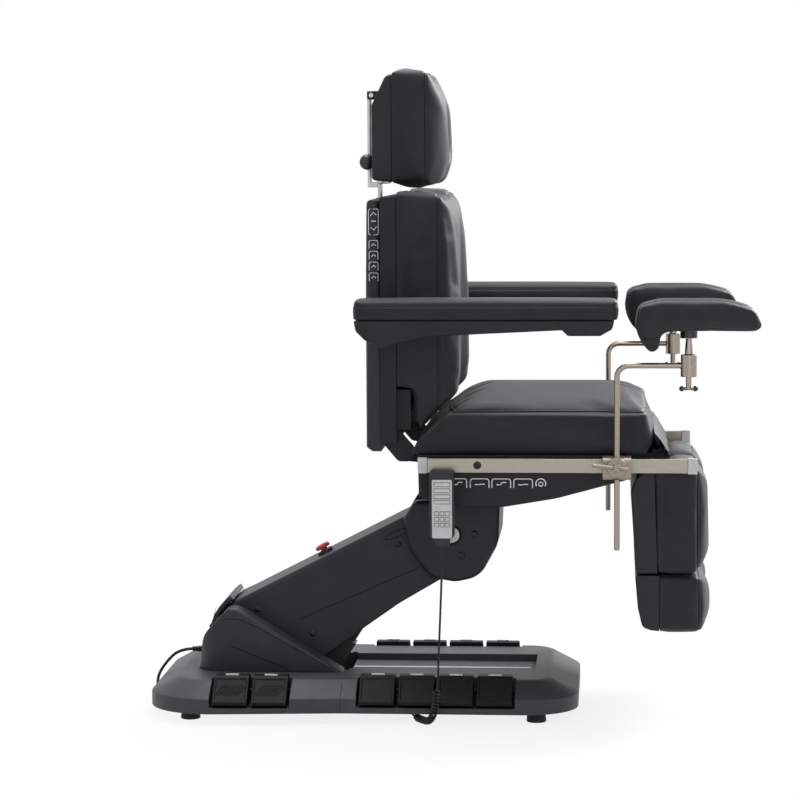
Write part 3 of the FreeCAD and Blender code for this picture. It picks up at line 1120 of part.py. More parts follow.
# Stirrups, about each rod's axis, in outward coordinates from the rod.
def make_stirrups():
    for side in SIDES:
        sign = SIDES[side]
        origin = STIRRUP[side]

        def out(distance):
            return sign * (distance - STIRRUP_Y)

        def slab(x0, x1, inner, outer, z0, z1):
            near, far = sorted((out(inner), out(outer)))
            return box(x0, x1, near, far, z0, z1)

        rail_out = RAIL_IN + RAIL_THICK
        body = slab(-CLAMP_HALF, CLAMP_HALF, RAIL_IN - CLAMP_LIP, CLAMP_OUT, CLAMP_LOW, CLAMP_HIGH)
        groove = slab(-CLAMP_HALF - 1, CLAMP_HALF + 1, RAIL_IN - SLIDE_GAP, rail_out + SLIDE_GAP,
                      RAIL_Z - SLIDE_GAP,
                      RAIL_Z + RAIL_HEIGHT + SLIDE_GAP)
        jaw = slab(-CLAMP_HALF - 1, CLAMP_HALF + 1, RAIL_IN - CLAMP_LIP - 1, RAIL_IN, CLAMP_JAW_LOW,
                   CLAMP_JAW_HIGH)
        rod_hole = Part.makeCylinder(ROD_R + RUN_FIT, 2 * CLAMP_HIGH, V(0, 0, -CLAMP_HIGH))
        screw_hole = Part.makeCylinder(SCREW_R + RUN_FIT, CLAMP_OUT, V(0, 0, SCREW_Z), V(0, sign, 0))
        clamp = body.cut([groove, jaw, rod_hole.copy(), screw_hole])
        rod_hole_high = Part.makeCylinder(ROD_R + RUN_FIT, 2 * CLAMP_HIGH, V(0, 0, 0))
        keep("clamp_" + side, clamp.cut(rod_hole_high), origin)

        face = abs(out(CLAMP_OUT)) + SLIDE_GAP
        screw = Part.makeCylinder(SCREW_R, face - ROD_R - SLIDE_GAP + 1,
                                  V(0, sign * (ROD_R + SLIDE_GAP), SCREW_Z), V(0, sign, 0))
        rosette = Part.makeCylinder(ROSETTE_R, ROSETTE_THICK, V(0, sign * face, SCREW_Z), V(0, sign, 0))
        hub = Part.makeCylinder(2 * TBAR_R, 3 * TBAR_R, V(0, sign * (face + ROSETTE_THICK - 1), SCREW_Z),
                                V(0, sign, 0))
        bar = Part.makeCylinder(TBAR_R, TBAR_REAR + TBAR_FRONT,
                                V(-TBAR_REAR, sign * (face + ROSETTE_THICK + 1.5 * TBAR_R), SCREW_Z),
                                V(1, 0, 0))
        bar.rotate(V(0, 0, SCREW_Z), V(0, 1, 0), TBAR_DIP)
        keep("clamp_handle_" + side, union([screw, rosette, hub, bar]), origin)

        bend = V(ROD_BEND - ROD_BEND * math.cos(math.pi / 4), 0,
                 ROD_TOP - ROD_BEND + ROD_BEND * math.sin(math.pi / 4))
        path = Part.Wire([Part.LineSegment(V(0, 0, ROD_LOW), V(0, 0, ROD_TOP - ROD_BEND)).toShape(),
                          Part.Arc(V(0, 0, ROD_TOP - ROD_BEND), bend, V(ROD_BEND, 0, ROD_TOP)).toShape(),
                          Part.LineSegment(V(ROD_BEND, 0, ROD_TOP),
                                           V(ROD_REACH - SOCKET_R / 2, 0, ROD_TOP)).toShape()])
        tube_shape = tube(path, ROD_R)
        socket_low = ROD_TOP - SOCKET_HEIGHT / 2
        socket = Part.makeCylinder(SOCKET_R, SOCKET_HEIGHT, V(ROD_REACH, 0, socket_low))
        bore = Part.makeCylinder(SPINDLE_R + RUN_FIT, SOCKET_HEIGHT + 2, V(ROD_REACH, 0, socket_low - 1))
        keep("stirrup_rod_" + side, union([tube_shape, socket]).cut(bore), origin)

        socket_top = socket_low + SOCKET_HEIGHT
        cone_low = socket_top + SLIDE_GAP
        mount_low = cone_low + SPINDLE_CONE_H
        shaft_low = socket_low - LEVER_DROP
        shaft = Part.makeCylinder(SPINDLE_R, cone_low - shaft_low + 1, V(ROD_REACH, 0, shaft_low))
        cone = Part.makeCone(SPINDLE_CONE_R, SPINDLE_R, SPINDLE_CONE_H + 1, V(ROD_REACH, 0, cone_low))
        mount = Part.makeCylinder(MOUNT_R, MOUNT_HEIGHT, V(ROD_REACH, 0, mount_low))
        lever = Part.makeCylinder(LEVER_R, 2 * LEVER_HALF,
                                  V(ROD_REACH - LEVER_HALF, 0, shaft_low + LEVER_R), V(1, 0, 0))
        balls = [Part.makeSphere(LEVER_BALL_R, V(ROD_REACH + d, 0, shaft_low + LEVER_R))
                 for d in (-LEVER_HALF, LEVER_HALF)]
        keep("spindle_" + side, union([shaft, cone, mount, lever] + balls), origin)

        base = mount_low + MOUNT_HEIGHT
        crest = base + PAD_RISE
        side_view = [(PAD_REAR, base + 14, 24), (PAD_REAR + 16, base - PAD_LIP + 24, 10),
                     (PAD_REAR + 36, base - PAD_LIP, 6), (PAD_REAR + 56, base - PAD_LIP + 12, 8),
                     (PAD_REAR + 56, base - 10, 8), (PAD_REAR + 70, base, 8), (PAD_FRONT - 20, base, 10),
                     (PAD_FRONT, base + 8, 8),
                     (PAD_FRONT - 20, crest - 18, 24), (PAD_FRONT - 88, crest - 2, 80),
                     (PAD_REAR + 60, crest, 60), (PAD_REAR + 6, crest - 12, 20)]
        low = base - PAD_LIP - 1
        end_view = [(-PAD_HALF + 26, low), (PAD_HALF - 26, low), (PAD_HALF, base + 40, 40),
                    (PAD_HALF - 6, crest, 10), (PAD_HALF - 26, crest - 2, 12),
                    (0, base + PAD_TROUGH, 70), (-PAD_HALF + 26, crest - 2, 12),
                    (-PAD_HALF + 6, crest, 10), (-PAD_HALF, base + 40, 40)]
        plan = [(PAD_REAR - 1, -PAD_HALF, 40), (PAD_FRONT + 1, -PAD_HALF, 40),
                (PAD_FRONT + 1, PAD_HALF, 40), (PAD_REAR - 1, PAD_HALF, 40)]
        pad = prism(side_view, "xz", -PAD_HALF - 1,
                    PAD_HALF + 1).common(prism(end_view, "yz", PAD_REAR - 1, PAD_FRONT + 1))
        pad = pad.common(prism(plan, "xy", low, crest + 1))
        keep("stirrup_pad_" + side, pad, origin + V(ROD_REACH, 0, 0))


# Tubes along a path of lines and arcs.
def tube(path, radius):
    first = path.OrderedEdges[0]
    start = first.valueAt(first.FirstParameter)
    ahead = first.tangentAt(first.FirstParameter)
    ring = Part.Wire([Part.makeCircle(radius, start, ahead)])
    shell = Part.BRepOffsetAPI.MakePipeShell(path)
    shell.add(ring)
    shell.build()
    shell.makeSolid()
    return shell.shape()


def arc_from(start, ahead, stop):
    chord = stop - start
    along = V(chord).normalize()
    turn = ahead.getAngle(chord)
    if turn < 1e-5:
        return Part.LineSegment(start, stop).toShape()
    side = (ahead - along * ahead.dot(along)).normalize()
    middle = start + chord * 0.5 + side * (chord.Length / 2 * math.tan(turn / 2))
    return Part.Arc(start, middle, stop).toShape()


# Straight runs joined by arcs, each arc as large as its two runs allow.
def cord_path(points, name):
    edges = []
    radii = []
    here = points[0]
    for i in range(1, len(points) - 1):
        back = points[i] - points[i - 1]
        ahead = points[i + 1] - points[i]
        reach = 0.45 * min(back.Length, ahead.Length)
        start = points[i] - V(back).normalize() * reach
        stop = points[i] + V(ahead).normalize() * reach
        edges.append(Part.LineSegment(here, start).toShape())
        edges.append(arc_from(start, V(back).normalize(), stop))
        radii.append(reach / math.tan(back.getAngle(ahead) / 2))
        here = stop
    edges.append(Part.LineSegment(here, points[-1]).toShape())
    print(name, "bend radii mm:", [round(radius) for radius in radii])
    return Part.Wire(edges)


# Two tangent arcs from one point and heading to another.
def biarc(p0, t0, p1, t1):
    gap = p1 - p0
    both = t0 + t1
    slack = 2 * (1 - t0.dot(t1))
    lean = gap.dot(both)
    if slack < 1e-9:
        reach = gap.dot(gap) / (4 * gap.dot(t1))
    else:
        reach = (math.sqrt(lean * lean + slack * gap.dot(gap)) - lean) / slack
    joint = (p0 + t0 * reach + p1 - t1 * reach) * 0.5
    heading = (p1 - t1 * reach - p0 - t0 * reach).normalize()
    return [arc_from(p0, t0, joint), arc_from(joint, heading, p1)]


# Edges of a wound line: a function of turns, sampled at quarter turns.
def wound_edges(place, turns):
    count = int(round(turns * 4))
    step = 1e-4
    points = [place(i / 4) for i in range(count + 1)]
    headings = [(place(i / 4 + step) - place(i / 4 - step)).normalize() for i in range(count + 1)]
    edges = []
    for i in range(count):
        edges += biarc(points[i], headings[i], points[i + 1], headings[i + 1])
    return edges, points, headings


# Least gap of a wound line to itself, between points on different turns.
def self_gap(place, turns, radius, apart):
    per_turn = 36
    points = [place(i / per_turn) for i in range(int(turns * per_turn) + 1)]
    least = min(points[i].distanceToPoint(points[j]) for i in range(len(points))
                for j in range(i + int(per_turn * apart), len(points)))
    return least - 2 * radius


def coil_place(turn):
    climb_start = COIL_TURNS
    climb_end = COIL_TURNS + 0.5
    total = 2 * COIL_TURNS + 0.5
    if turn <= climb_start:
        radius = COIL_INNER + COIL_PITCH * (COIL_TURNS - turn)
        rise = 0.0
    elif turn <= climb_end:
        radius = COIL_INNER
        rise = (1 - math.cos(math.pi * (turn - climb_start) * 2)) / 2
    else:
        radius = COIL_INNER + COIL_PITCH * (turn - climb_end)
        rise = 1.0
    angle = math.radians(-90 + 360 * turn)
    return V(COIL_X + radius * math.cos(angle), COIL_Y + radius * math.sin(angle),
             MAINS_R + 0.1 + rise * COIL_LAYER)


def report_tube(name, shape, path, radius):
    expected = math.pi * radius * radius * path.Length
    print(name, "length mm:", round(path.Length), "volume share:", round(shape.Volume / expected, 4))


def make_mains():
    rear = LIFT_X - TOWER_REAR
    gland = Part.makeCone(GLAND_TIP_R, GLAND_R, GLAND_LENGTH, V(rear - GLAND_LENGTH, 0, GLAND_Z),
                          V(1, 0, 0))
    keep("mains_gland", gland)
    tip = V(rear - GLAND_LENGTH, 0, GLAND_Z)
    coil_edges, coil_points, headings = wound_edges(coil_place, 2 * COIL_TURNS + 0.5)
    lead_in = coil_points[0] - headings[0] * (2 * MAINS_R)
    lead_out = coil_points[-1] + headings[-1] * COIL_LEAD
    points = [tip] + [V(tip.x + x, y, z) for x, y, z in MAINS_ROUTE]
    points += [lead_in - headings[0] * MAINS_LAST_RUN, lead_in]
    path = cord_path(points, "mains_cord")
    shape = tube(path, MAINS_R)
    report_tube("mains_cord", shape, path, MAINS_R)
    keep("mains_cord", shape)
    coil_wire = Part.Wire([Part.LineSegment(lead_in, coil_points[0]).toShape()] + coil_edges
                          + [Part.LineSegment(coil_points[-1], lead_out).toShape()])
    coil = tube(coil_wire, MAINS_R)
    report_tube("mains_coil", coil, coil_wire, MAINS_R)
    print("mains_coil least gap mm:", round(self_gap(coil_place, 2 * COIL_TURNS + 0.5, MAINS_R, 0.4), 2))
    keep("mains_coil", coil)
    ahead = headings[-1]
    half = lead_out.z
    body = box(0, PLUG_LENGTH, -PLUG_WIDTH / 2, PLUG_WIDTH / 2, -half, half)
    body = body.makeFillet(4, [edge for edge in body.Edges
                               if abs(edge.CenterOfMass.x - PLUG_LENGTH / 2) < 0.1])
    pins = [Part.makeCylinder(PLUG_PIN_R, PLUG_PIN_LENGTH, V(PLUG_LENGTH, d * PLUG_PIN_PITCH / 2, 0),
                              V(1, 0, 0)) for d in (-1, 1)]
    plug = union([body] + pins)
    plug.rotate(V(0, 0, 0), V(0, 0, 1), math.degrees(math.atan2(ahead.y, ahead.x)))
    keep("mains_plug", plug, lead_out)


# Handset: a slim box with a waisted lower end and a spring clip that grips the rail's lower edge.
def make_handset():
    half = HANDSET_WIDTH / 2
    outer = HANDSET_IN + HANDSET_THICK
    front = [(HANDSET_X - HANDSET_NECK, HANDSET_LOW, 5), (HANDSET_X + HANDSET_NECK, HANDSET_LOW, 5),
             (HANDSET_X + HANDSET_NECK + 3, HANDSET_LOW + 16, 4),
             (HANDSET_X + half, HANDSET_LOW + 22, 8), (HANDSET_X + half, HANDSET_HIGH, 8),
             (HANDSET_X - half, HANDSET_HIGH, 8),
             (HANDSET_X - half, HANDSET_LOW + 22, 8), (HANDSET_X - HANDSET_NECK - 3, HANDSET_LOW + 16, 4)]
    body = side_prism("near", front, HANDSET_IN, outer)
    lip = HANDSET_CLIP
    floor = side_box("near", HANDSET_X - 12, HANDSET_X + 12, RAIL_IN - lip - 1, HANDSET_IN + 1,
                     RAIL_Z - lip - 1, RAIL_Z - SLIDE_GAP)
    hook = side_box("near", HANDSET_X - 12, HANDSET_X + 12, RAIL_IN - lip - 1, RAIL_IN - 1,
                    RAIL_Z - lip - 1, RAIL_Z + 8)
    keep("handset", union([body, floor, hook]), HEAD_PIVOT)


# Handset cord: a straight hanging run, then curls that bend onto the floor and run in under the base.
def make_handset_cord():
    exit_point = HEAD_PIVOT + V(HANDSET_X, -HANDSET_IN - HANDSET_THICK / 2, HANDSET_LOW)
    start = V(exit_point.x - 11, exit_point.y - 2, 97)
    inward = V(-60, 87, 0).normalize()
    bend_w = 19.0
    floor_z = CURL_R + HANDSET_CORD_R + 0.5
    run_w = 88.0
    drop = V(bend_w, floor_z - start.z, 0)
    level = V(run_w - bend_w, 0, 0)
    reach = 36.0
    line_1 = drop.Length - reach
    turn = drop.getAngle(level)
    radius = reach / math.tan(turn / 2)
    arc_length = radius * turn
    total = line_1 + arc_length + level.Length - reach
    down = V(drop).normalize()
    side = V(-down.y, down.x, 0)

    def axis(s):
        if s <= line_1:
            return V(0, start.z, 0) + down * s, down
        if s <= line_1 + arc_length:
            angle = (s - line_1) / radius
            centre = V(0, start.z, 0) + down * line_1 + side * radius
            spoke = side * (-radius * math.cos(angle)) + down * (radius * math.sin(angle))
            return centre + spoke, down * math.cos(angle) + side * math.sin(angle)
        past = s - line_1 - arc_length
        return V(bend_w + reach + past, floor_z, 0), V(1, 0, 0)

    def lifted(w, z):
        return V(start.x, start.y, 0) + inward * w + V(0, 0, z)

    turns = math.floor(total / CURL_PITCH)
    across = V(0, 0, 1).cross(inward)

    def curl_place(turn_count):
        s = turn_count * CURL_PITCH
        middle, ahead = axis(min(max(s, -CURL_PITCH), total))
        if s < 0:
            middle = V(0, start.z, 0) + down * s
        grow = min(1.0, max(0.0, turn_count), max(0.0, turns - turn_count))
        spread = CURL_R * (1 - math.cos(math.pi * grow)) / 2
        angle = 2 * math.pi * turn_count
        normal = V(-ahead.y, ahead.x, 0)
        offset_w = normal.x * spread * math.cos(angle)
        offset_z = normal.y * spread * math.cos(angle)
        return lifted(middle.x + offset_w, middle.y + offset_z) + across * (spread * math.sin(angle))

    edges, points, headings = wound_edges(curl_place, turns)
    below = exit_point - V(0, 0, 2 * HANDSET_CORD_R)
    hang = [Part.LineSegment(exit_point, below).toShape()] + biarc(below, V(0, 0, -1), points[0],
                                                                   headings[0])
    goal = V(points[-1].x - 24, -PLATE_HALF, SKIRT_Z + PLATE_THICK / 2)
    tail = biarc(points[-1], headings[-1], goal, V(0, 1, 0))
    path = Part.Wire(hang + edges + tail)
    shape = tube(path, HANDSET_CORD_R)
    report_tube("handset_cord", shape, path, HANDSET_CORD_R)
    print("handset_cord curls:", turns, "least gap mm:",
          round(self_gap(curl_place, turns, HANDSET_CORD_R, 0.8), 2))
    keep("handset_cord", shape)


def make_all():
    make_base_shell()
    make_pedals()
    make_base_frame()
    make_tower_cover()
    make_lift_arm()
    make_actuator()
    make_head()
    make_seat_frame()
    make_undercover()
    make_seat_cushion()
    make_rails()
    make_back()
    make_armrests()
    make_headrest()
    make_legs()
    make_feet()
    make_stirrups()
    make_handset()
    make_mains()
    make_handset_cord()


make_all()
os.makedirs("parts", exist_ok=True)
for piece_name, piece in PIECES.items():
    piece.exportStep("parts/%s.step" % piece_name)
print(len(PIECES), "nodes")
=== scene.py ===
import bmesh
import bpy
import math
from mathutils import Matrix, Vector
from mathutils.bvhtree import BVHTree


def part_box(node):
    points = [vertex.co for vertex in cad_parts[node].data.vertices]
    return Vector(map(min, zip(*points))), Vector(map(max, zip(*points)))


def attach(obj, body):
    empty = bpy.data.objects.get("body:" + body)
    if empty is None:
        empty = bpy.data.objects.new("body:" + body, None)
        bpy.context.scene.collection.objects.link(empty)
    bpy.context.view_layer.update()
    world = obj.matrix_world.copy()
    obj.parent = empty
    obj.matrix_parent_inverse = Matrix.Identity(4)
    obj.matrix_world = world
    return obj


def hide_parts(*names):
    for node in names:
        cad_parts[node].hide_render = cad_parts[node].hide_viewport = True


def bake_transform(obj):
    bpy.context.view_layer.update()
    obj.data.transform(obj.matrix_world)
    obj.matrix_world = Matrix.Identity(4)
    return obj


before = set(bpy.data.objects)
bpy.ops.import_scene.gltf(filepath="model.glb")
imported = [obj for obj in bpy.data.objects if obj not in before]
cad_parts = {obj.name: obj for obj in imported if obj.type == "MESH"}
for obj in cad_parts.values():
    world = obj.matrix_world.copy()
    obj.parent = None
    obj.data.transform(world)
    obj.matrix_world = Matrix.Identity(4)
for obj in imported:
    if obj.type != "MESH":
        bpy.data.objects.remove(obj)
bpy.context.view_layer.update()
scene = bpy.context.scene
scene.view_settings.view_transform = "Standard"


# Studio: a plain pale floor under a white surround, with a broad soft lamp overhead, one at the right
# that grazes the fronts, and a weak one before it. The floor keeps the chair's shadow.
def linear(code):
    channels = [int(code[i:i + 2], 16) / 255 for i in (1, 3, 5)]
    return [c / 12.92 if c <= 0.04045 else ((c + 0.055) / 1.055) ** 2.4 for c in channels] + [1.0]


def add(tree, kind, settings, links):
    node = tree.nodes.new("ShaderNode" + kind)
    for name, value in settings.items():
        if isinstance(name, int) or name in node.inputs:
            node.inputs[name].default_value = value
        else:
            setattr(node, name, value)
    for name, source in links.items():
        tree.links.new(source, node.inputs[name])
    return node


def blank(name):
    material = bpy.data.materials.new(name)
    material.use_nodes = True
    material.node_tree.nodes.clear()
    return material, material.node_tree


def seen_rays(tree):
    path = add(tree, "LightPath", {}, {})
    either = add(tree, "Math", {"operation": "MAXIMUM"},
                 {0: path.outputs["Is Camera Ray"], 1: path.outputs["Is Glossy Ray"]})
    return add(tree, "Math", {"operation": "MAXIMUM"},
               {0: either.outputs[0], 1: path.outputs["Is Transmission Ray"]}).outputs[0]


studio_floor, tree = blank("pale_studio_floor")
coords = add(tree, "TexCoord", {}, {})
away = add(tree, "VectorMath", {"operation": "LENGTH"}, {0: coords.outputs["Object"]})
fade = add(tree, "MapRange", {"From Min": 0.5, "From Max": 1.0, "To Min": 0.84, "To Max": 1.0},
           {"Value": away.outputs["Value"]})
seen = add(tree, "Math", {"operation": "MULTIPLY"}, {0: seen_rays(tree), 1: fade.outputs[0]})
paper = add(tree, "BsdfDiffuse", {"Color": linear("#f4f4f4")}, {})
white = add(tree, "Emission", {"Color": (1, 1, 1, 1), "Strength": 1.0}, {})
mixed = add(tree, "MixShader", {}, {0: seen.outputs[0], 1: paper.outputs[0], 2: white.outputs[0]})
add(tree, "OutputMaterial", {}, {"Surface": mixed.outputs[0]})
bm = bmesh.new()
bmesh.ops.create_grid(bm, x_segments=1, y_segments=1, size=12.0)
floor_mesh = bpy.data.meshes.new("studio_floor")
bm.to_mesh(floor_mesh)
bm.free()
floor_mesh.materials.append(studio_floor)
floor = bpy.data.objects.new("studio_floor", floor_mesh)
scene.collection.objects.link(floor)

world = bpy.data.worlds.new("white_surround")
world.use_nodes = True
tree = world.node_tree
tree.nodes.clear()
coords = add(tree, "TexCoord", {}, {})
height = add(tree, "SeparateXYZ", {}, {0: coords.outputs["Generated"]})
sky = add(tree, "MapRange", {"From Min": 0.0, "From Max": 1.0, "To Min": 0.08, "To Max": 0.42},
          {"Value": height.outputs["Z"]})
soft = add(tree, "Background", {"Color": (1, 1, 1, 1)}, {"Strength": sky.outputs[0]})
bright = add(tree, "Background", {"Color": (1, 1, 1, 1), "Strength": 1.0}, {})
mixed = add(tree, "MixShader", {}, {0: seen_rays(tree), 1: soft.outputs[0], 2: bright.outputs[0]})
add(tree, "OutputWorld", {}, {"Surface": mixed.outputs[0]})
scene.world = world

for name, place, aim, size, power in (
        ("overhead_softbox", (0.1, 0.35, 3.1), (0.0, 0.1, 0.0), 2.6, 95.0),
        ("right_softbox", (2.9, 2.8, 3.1), (-0.1, 0.0, 1.1), 2.2, 330.0),
        ("front_fill", (1.2, -4.2, 1.9), (0.0, 0.0, 0.7), 2.4, 20.0)):
    lamp_data = bpy.data.lights.new(name, "AREA")
    lamp_data.shape = "SQUARE"
    lamp_data.size = size
    lamp_data.energy = power
    lamp = bpy.data.objects.new(name, lamp_data)
    lamp.location = place
    lamp.rotation_euler = (Vector(aim) - Vector(place)).to_track_quat("-Z", "Y").to_euler()
    scene.collection.objects.link(lamp)

camera_data = bpy.data.cameras.new("lens")
camera_data.lens = 129.85
camera_data.sensor_width = 36.0
camera_data.sensor_fit = "HORIZONTAL"
camera_data.clip_end = 100.0
camera = bpy.data.objects.new("lens", camera_data)
pan, pitch, roll = [math.radians(angle) for angle in (4.285, -5.07, 0.287)]
turn = (Matrix.Rotation(pan, 4, "Z") @ Matrix.Rotation(pitch, 4, "X") @ Matrix.Rotation(roll, 4, "Y")
        @ Matrix.Rotation(math.radians(90), 4, "X"))
camera.matrix_world = Matrix.Translation((0.35596, -6.40421, 1.24748)) @ turn
scene.collection.objects.link(camera)
scene.camera = camera


# Mains lead: a round black PVC flex that hangs from a ribbed rubber strain relief at the back of the
# tower and runs round behind the base. Its spare length is wound in two layers of four turns, with
# the moulded plug beside them.
def scaled(colour, factor):
    return [min(1.0, c * factor) for c in linear(colour)[:3]] + [1.0]


def tinted(tree, noise, dark, light, low=0.0, high=1.0):
    ramp = add(tree, "ValToRGB", {}, {"Fac": noise.outputs["Fac"]})
    for element, position, colour in zip(ramp.color_ramp.elements, (low, high), (dark, light)):
        element.position = position
        element.color = colour
    return ramp.outputs[0]


def shaded(tree, settings, links):
    shader = add(tree, "BsdfPrincipled", settings, links)
    add(tree, "OutputMaterial", {}, {"Surface": shader.outputs[0]})


def flex(name, colour, roughness, grit_mm):
    material, tree = blank(name)
    place = add(tree, "TexCoord", {}, {}).outputs["Object"]
    smear = add(tree, "TexNoise", {"Scale": 1000 / 25, "Detail": 4.0}, {"Vector": place})
    grit = add(tree, "TexNoise", {"Scale": 1000 / grit_mm, "Detail": 2.0}, {"Vector": place})
    tint = tinted(tree, smear, linear(colour), [min(1.0, c * 1.9 + 0.004) for c in linear(colour)])
    rough = add(tree, "MapRange", {"To Min": roughness - 0.08, "To Max": roughness + 0.12},
                {"Value": smear.outputs["Fac"]})
    bump = add(tree, "Bump", {"Strength": 0.3, "Distance": 0.0002}, {"Height": grit.outputs["Fac"]})
    shaded(tree, {"IOR": 1.52, "Specular IOR Level": 0.3},
           {"Base Color": tint, "Roughness": rough.outputs[0], "Normal": bump.outputs[0]})
    return material


# A copy of one CAD piece, its loose triangles merged and its flat faces made whole again.
def solid(*nodes):
    bm = bmesh.new()
    for node in nodes:
        bm.from_mesh(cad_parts[node].data)
    bmesh.ops.remove_doubles(bm, verts=bm.verts, dist=2e-6)
    bmesh.ops.dissolve_limit(bm, angle_limit=math.radians(0.5), verts=bm.verts, edges=bm.edges)
    for face in bm.faces:
        face.material_index = 0
    return bm


# Moulded and machined edges are never sharp: each sharp edge gets its own round, which never leaves
# the box that the piece had before.
def eased(bm, width, segments, where=None, least=26, convex=False):
    edges = []
    for edge in bm.edges:
        middle = (edge.verts[0].co + edge.verts[1].co) / 2
        if (len(edge.link_faces) == 2 and edge.calc_face_angle() > math.radians(least)
                and (where is None or where(middle)) and (edge.is_convex or not convex)):
            edges.append(edge)
    low = [min(v.co[i] for v in bm.verts) for i in range(3)]
    high = [max(v.co[i] for v in bm.verts) for i in range(3)]
    bmesh.ops.bevel(bm, geom=edges, offset=width, offset_type="OFFSET", segments=segments, profile=0.5,
                    affect="EDGES", material=-1, clamp_overlap=False)
    for vert in bm.verts:
        vert.co = [min(max(c, a), b) for c, a, b in zip(vert.co, low, high)]
    return bm


# A turned shape: a profile of distances along the axis and radii, spun round it.
def lathe(bm, start, axis, profile, steps):
    axis = Vector(axis).normalized()
    side = axis.orthogonal().normalized()
    verts = [bm.verts.new(Vector(start) + axis * along + side * radius) for along, radius in profile]
    edges = [bm.edges.new(pair) for pair in zip(verts, verts[1:])]
    bmesh.ops.spin(bm, geom=verts + edges, cent=start, axis=axis, angle=2 * math.pi, steps=steps,
                   use_merge=True)
    bmesh.ops.remove_doubles(bm, verts=bm.verts, dist=1e-6)
    bmesh.ops.recalc_face_normals(bm, faces=bm.faces)


def finished(name, bm, body, materials, stands_for=()):
    mesh = bpy.data.meshes.new(name)
    bm.to_mesh(mesh)
    bm.free()
    for material in materials:
        mesh.materials.append(material)
    mesh.shade_smooth()
    mesh.set_sharp_from_angle(angle=math.radians(38))
    piece = bpy.data.objects.new(name, mesh)
    scene.collection.objects.link(piece)
    even = piece.modifiers.new("even_normals", "WEIGHTED_NORMAL")
    even.keep_sharp = True
    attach(piece, body)
    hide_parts(*stands_for)
    return piece


def spline_curve(name, points):
    data = bpy.data.curves.new(name, "CURVE")
    data.dimensions = "3D"
    data.resolution_u = 6
    spline = data.splines.new("NURBS")
    spline.points.add(len(points) - 1)
    for point, place in zip(spline.points, points):
        point.co = (*place, 1.0)
    spline.order_u = 3
    spline.use_endpoint_u = True
    curve = bpy.data.objects.new(name, data)
    scene.collection.objects.link(curve)
    return curve


# Extruded PVC has a low, smeared shine; moulded rubber is duller. Their grit of about 0.3 mm is drawn
# at 1.5 and 0.9 mm so that it shows.
flex_black = flex("black_pvc_flex", "#0d0c0e", 0.42, 1.5)
rubber_black = flex("moulded_black_rubber", "#121113", 0.62, 0.9)
gland_tip = (-0.5975, 0.0, 0.112)
relief_pitch = 0.006
relief_growth = 0.0006
bm = bmesh.new()
ribs = [(0.0, 0.0), (0.0, 0.0046), (0.0006, 0.0055)]
for i in range(6):
    for place, radius in ((0.002, 0.0056), (0.0045, 0.0058), (0.0050, 0.0045), (0.0072, 0.0046)):
        ribs.append((place + i * relief_pitch, radius + i * relief_growth))
ribs += [(0.0382, 0.0096), (0.0396, 0.0098), (0.0398, 0.0094), (0.0398, 0.0)]
lathe(bm, gland_tip, (1, 0, 0), ribs, 28)
finished("strain_relief", bm, "base", [rubber_black], ["mains_gland"])

mains_points = [gland_tip, (-0.6275, 0.0, 0.110), (-0.6555, 0.002, 0.084), (-0.6775, 0.008, 0.052),
                (-0.683, 0.024, 0.022), (-0.683, 0.058, 0.006), (-0.679, 0.100, 0.0035),
                (-0.674, 0.152, 0.0035), (-0.664, 0.206, 0.0035), (-0.642, 0.258, 0.0035),
                (-0.606, 0.302, 0.0035), (-0.560, 0.336, 0.0035), (-0.521, 0.356, 0.0035),
                (-0.4828, 0.3676, 0.0035), (-0.4468, 0.3676, 0.0035)]
coil_x, coil_y = -0.440, 0.425
coil_inner = 0.022
coil_pitch = 0.0086
coil_layer = 0.0084
coil_floor = 0.0035
climb_from, climb_to, coil_end = 4.0, 4.5, 8.5
points_per_turn = 16
# A smooth curve runs inside its points, by 1.9 % of the radius with 16 points to a turn.
cut_corner = 1.019
for i in range(2, int(coil_end * points_per_turn) + 1):
    turns = i / points_per_turn
    wound_out = max(climb_from - turns, turns - climb_to, 0.0)
    climb = min(1.0, max(0.0, (turns - climb_from) / (climb_to - climb_from)))
    radius = (coil_inner + coil_pitch * wound_out) * cut_corner
    angle = math.radians(-90 + 360 * turns)
    mains_points.append((coil_x + radius * math.cos(angle), coil_y + radius * math.sin(angle),
                         coil_floor + coil_layer * (1 - math.cos(math.pi * climb)) / 2))
mains_points += [(-0.467, 0.4825, 0.0119), (-0.494, 0.4827, 0.0119)]
mains_lead = spline_curve("mains_lead", mains_points)
mains_lead.data.bevel_depth = 0.0034
mains_lead.data.bevel_resolution = 3
mains_lead.data.use_fill_caps = True
mains_lead.data.materials.append(flex_black)
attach(mains_lead, "base")
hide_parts("mains_cord", "mains_coil")


# Plug: a rubber body moulded onto the end of the lead, with two nickelled brass pins. Plating is
# bright, with a thin haze in patches of a few millimetres.
def plated(name, colour, haze_mm, detail, brightest, dullest):
    material, tree = blank(name)
    place = add(tree, "TexCoord", {}, {}).outputs["Object"]
    haze = add(tree, "TexNoise", {"Scale": 1000 / haze_mm, "Detail": detail}, {"Vector": place})
    rough = add(tree, "MapRange", {"To Min": brightest, "To Max": dullest}, {"Value": haze.outputs["Fac"]})
    shaded(tree, {"Base Color": linear(colour), "Metallic": 1.0}, {"Roughness": rough.outputs[0]})
    return material


nickel = plated("nickelled_brass_pins", "#b9b2a6", 4, 3.0, 0.18, 0.34)
pin_root = -0.5400
pin_tip = -0.5590
bm = solid("mains_plug")
for face in bm.faces:
    face.material_index = 1 if face.calc_center_median().x < pin_root - 0.0005 else 0
eased(bm, 0.0012, 2, lambda p: p.x > pin_root + 0.0005)
eased(bm, 0.0009, 2, lambda p: p.x < pin_tip + 0.0005)
plug = finished("plug", bm, "base", [rubber_black, nickel], ["mains_plug"])


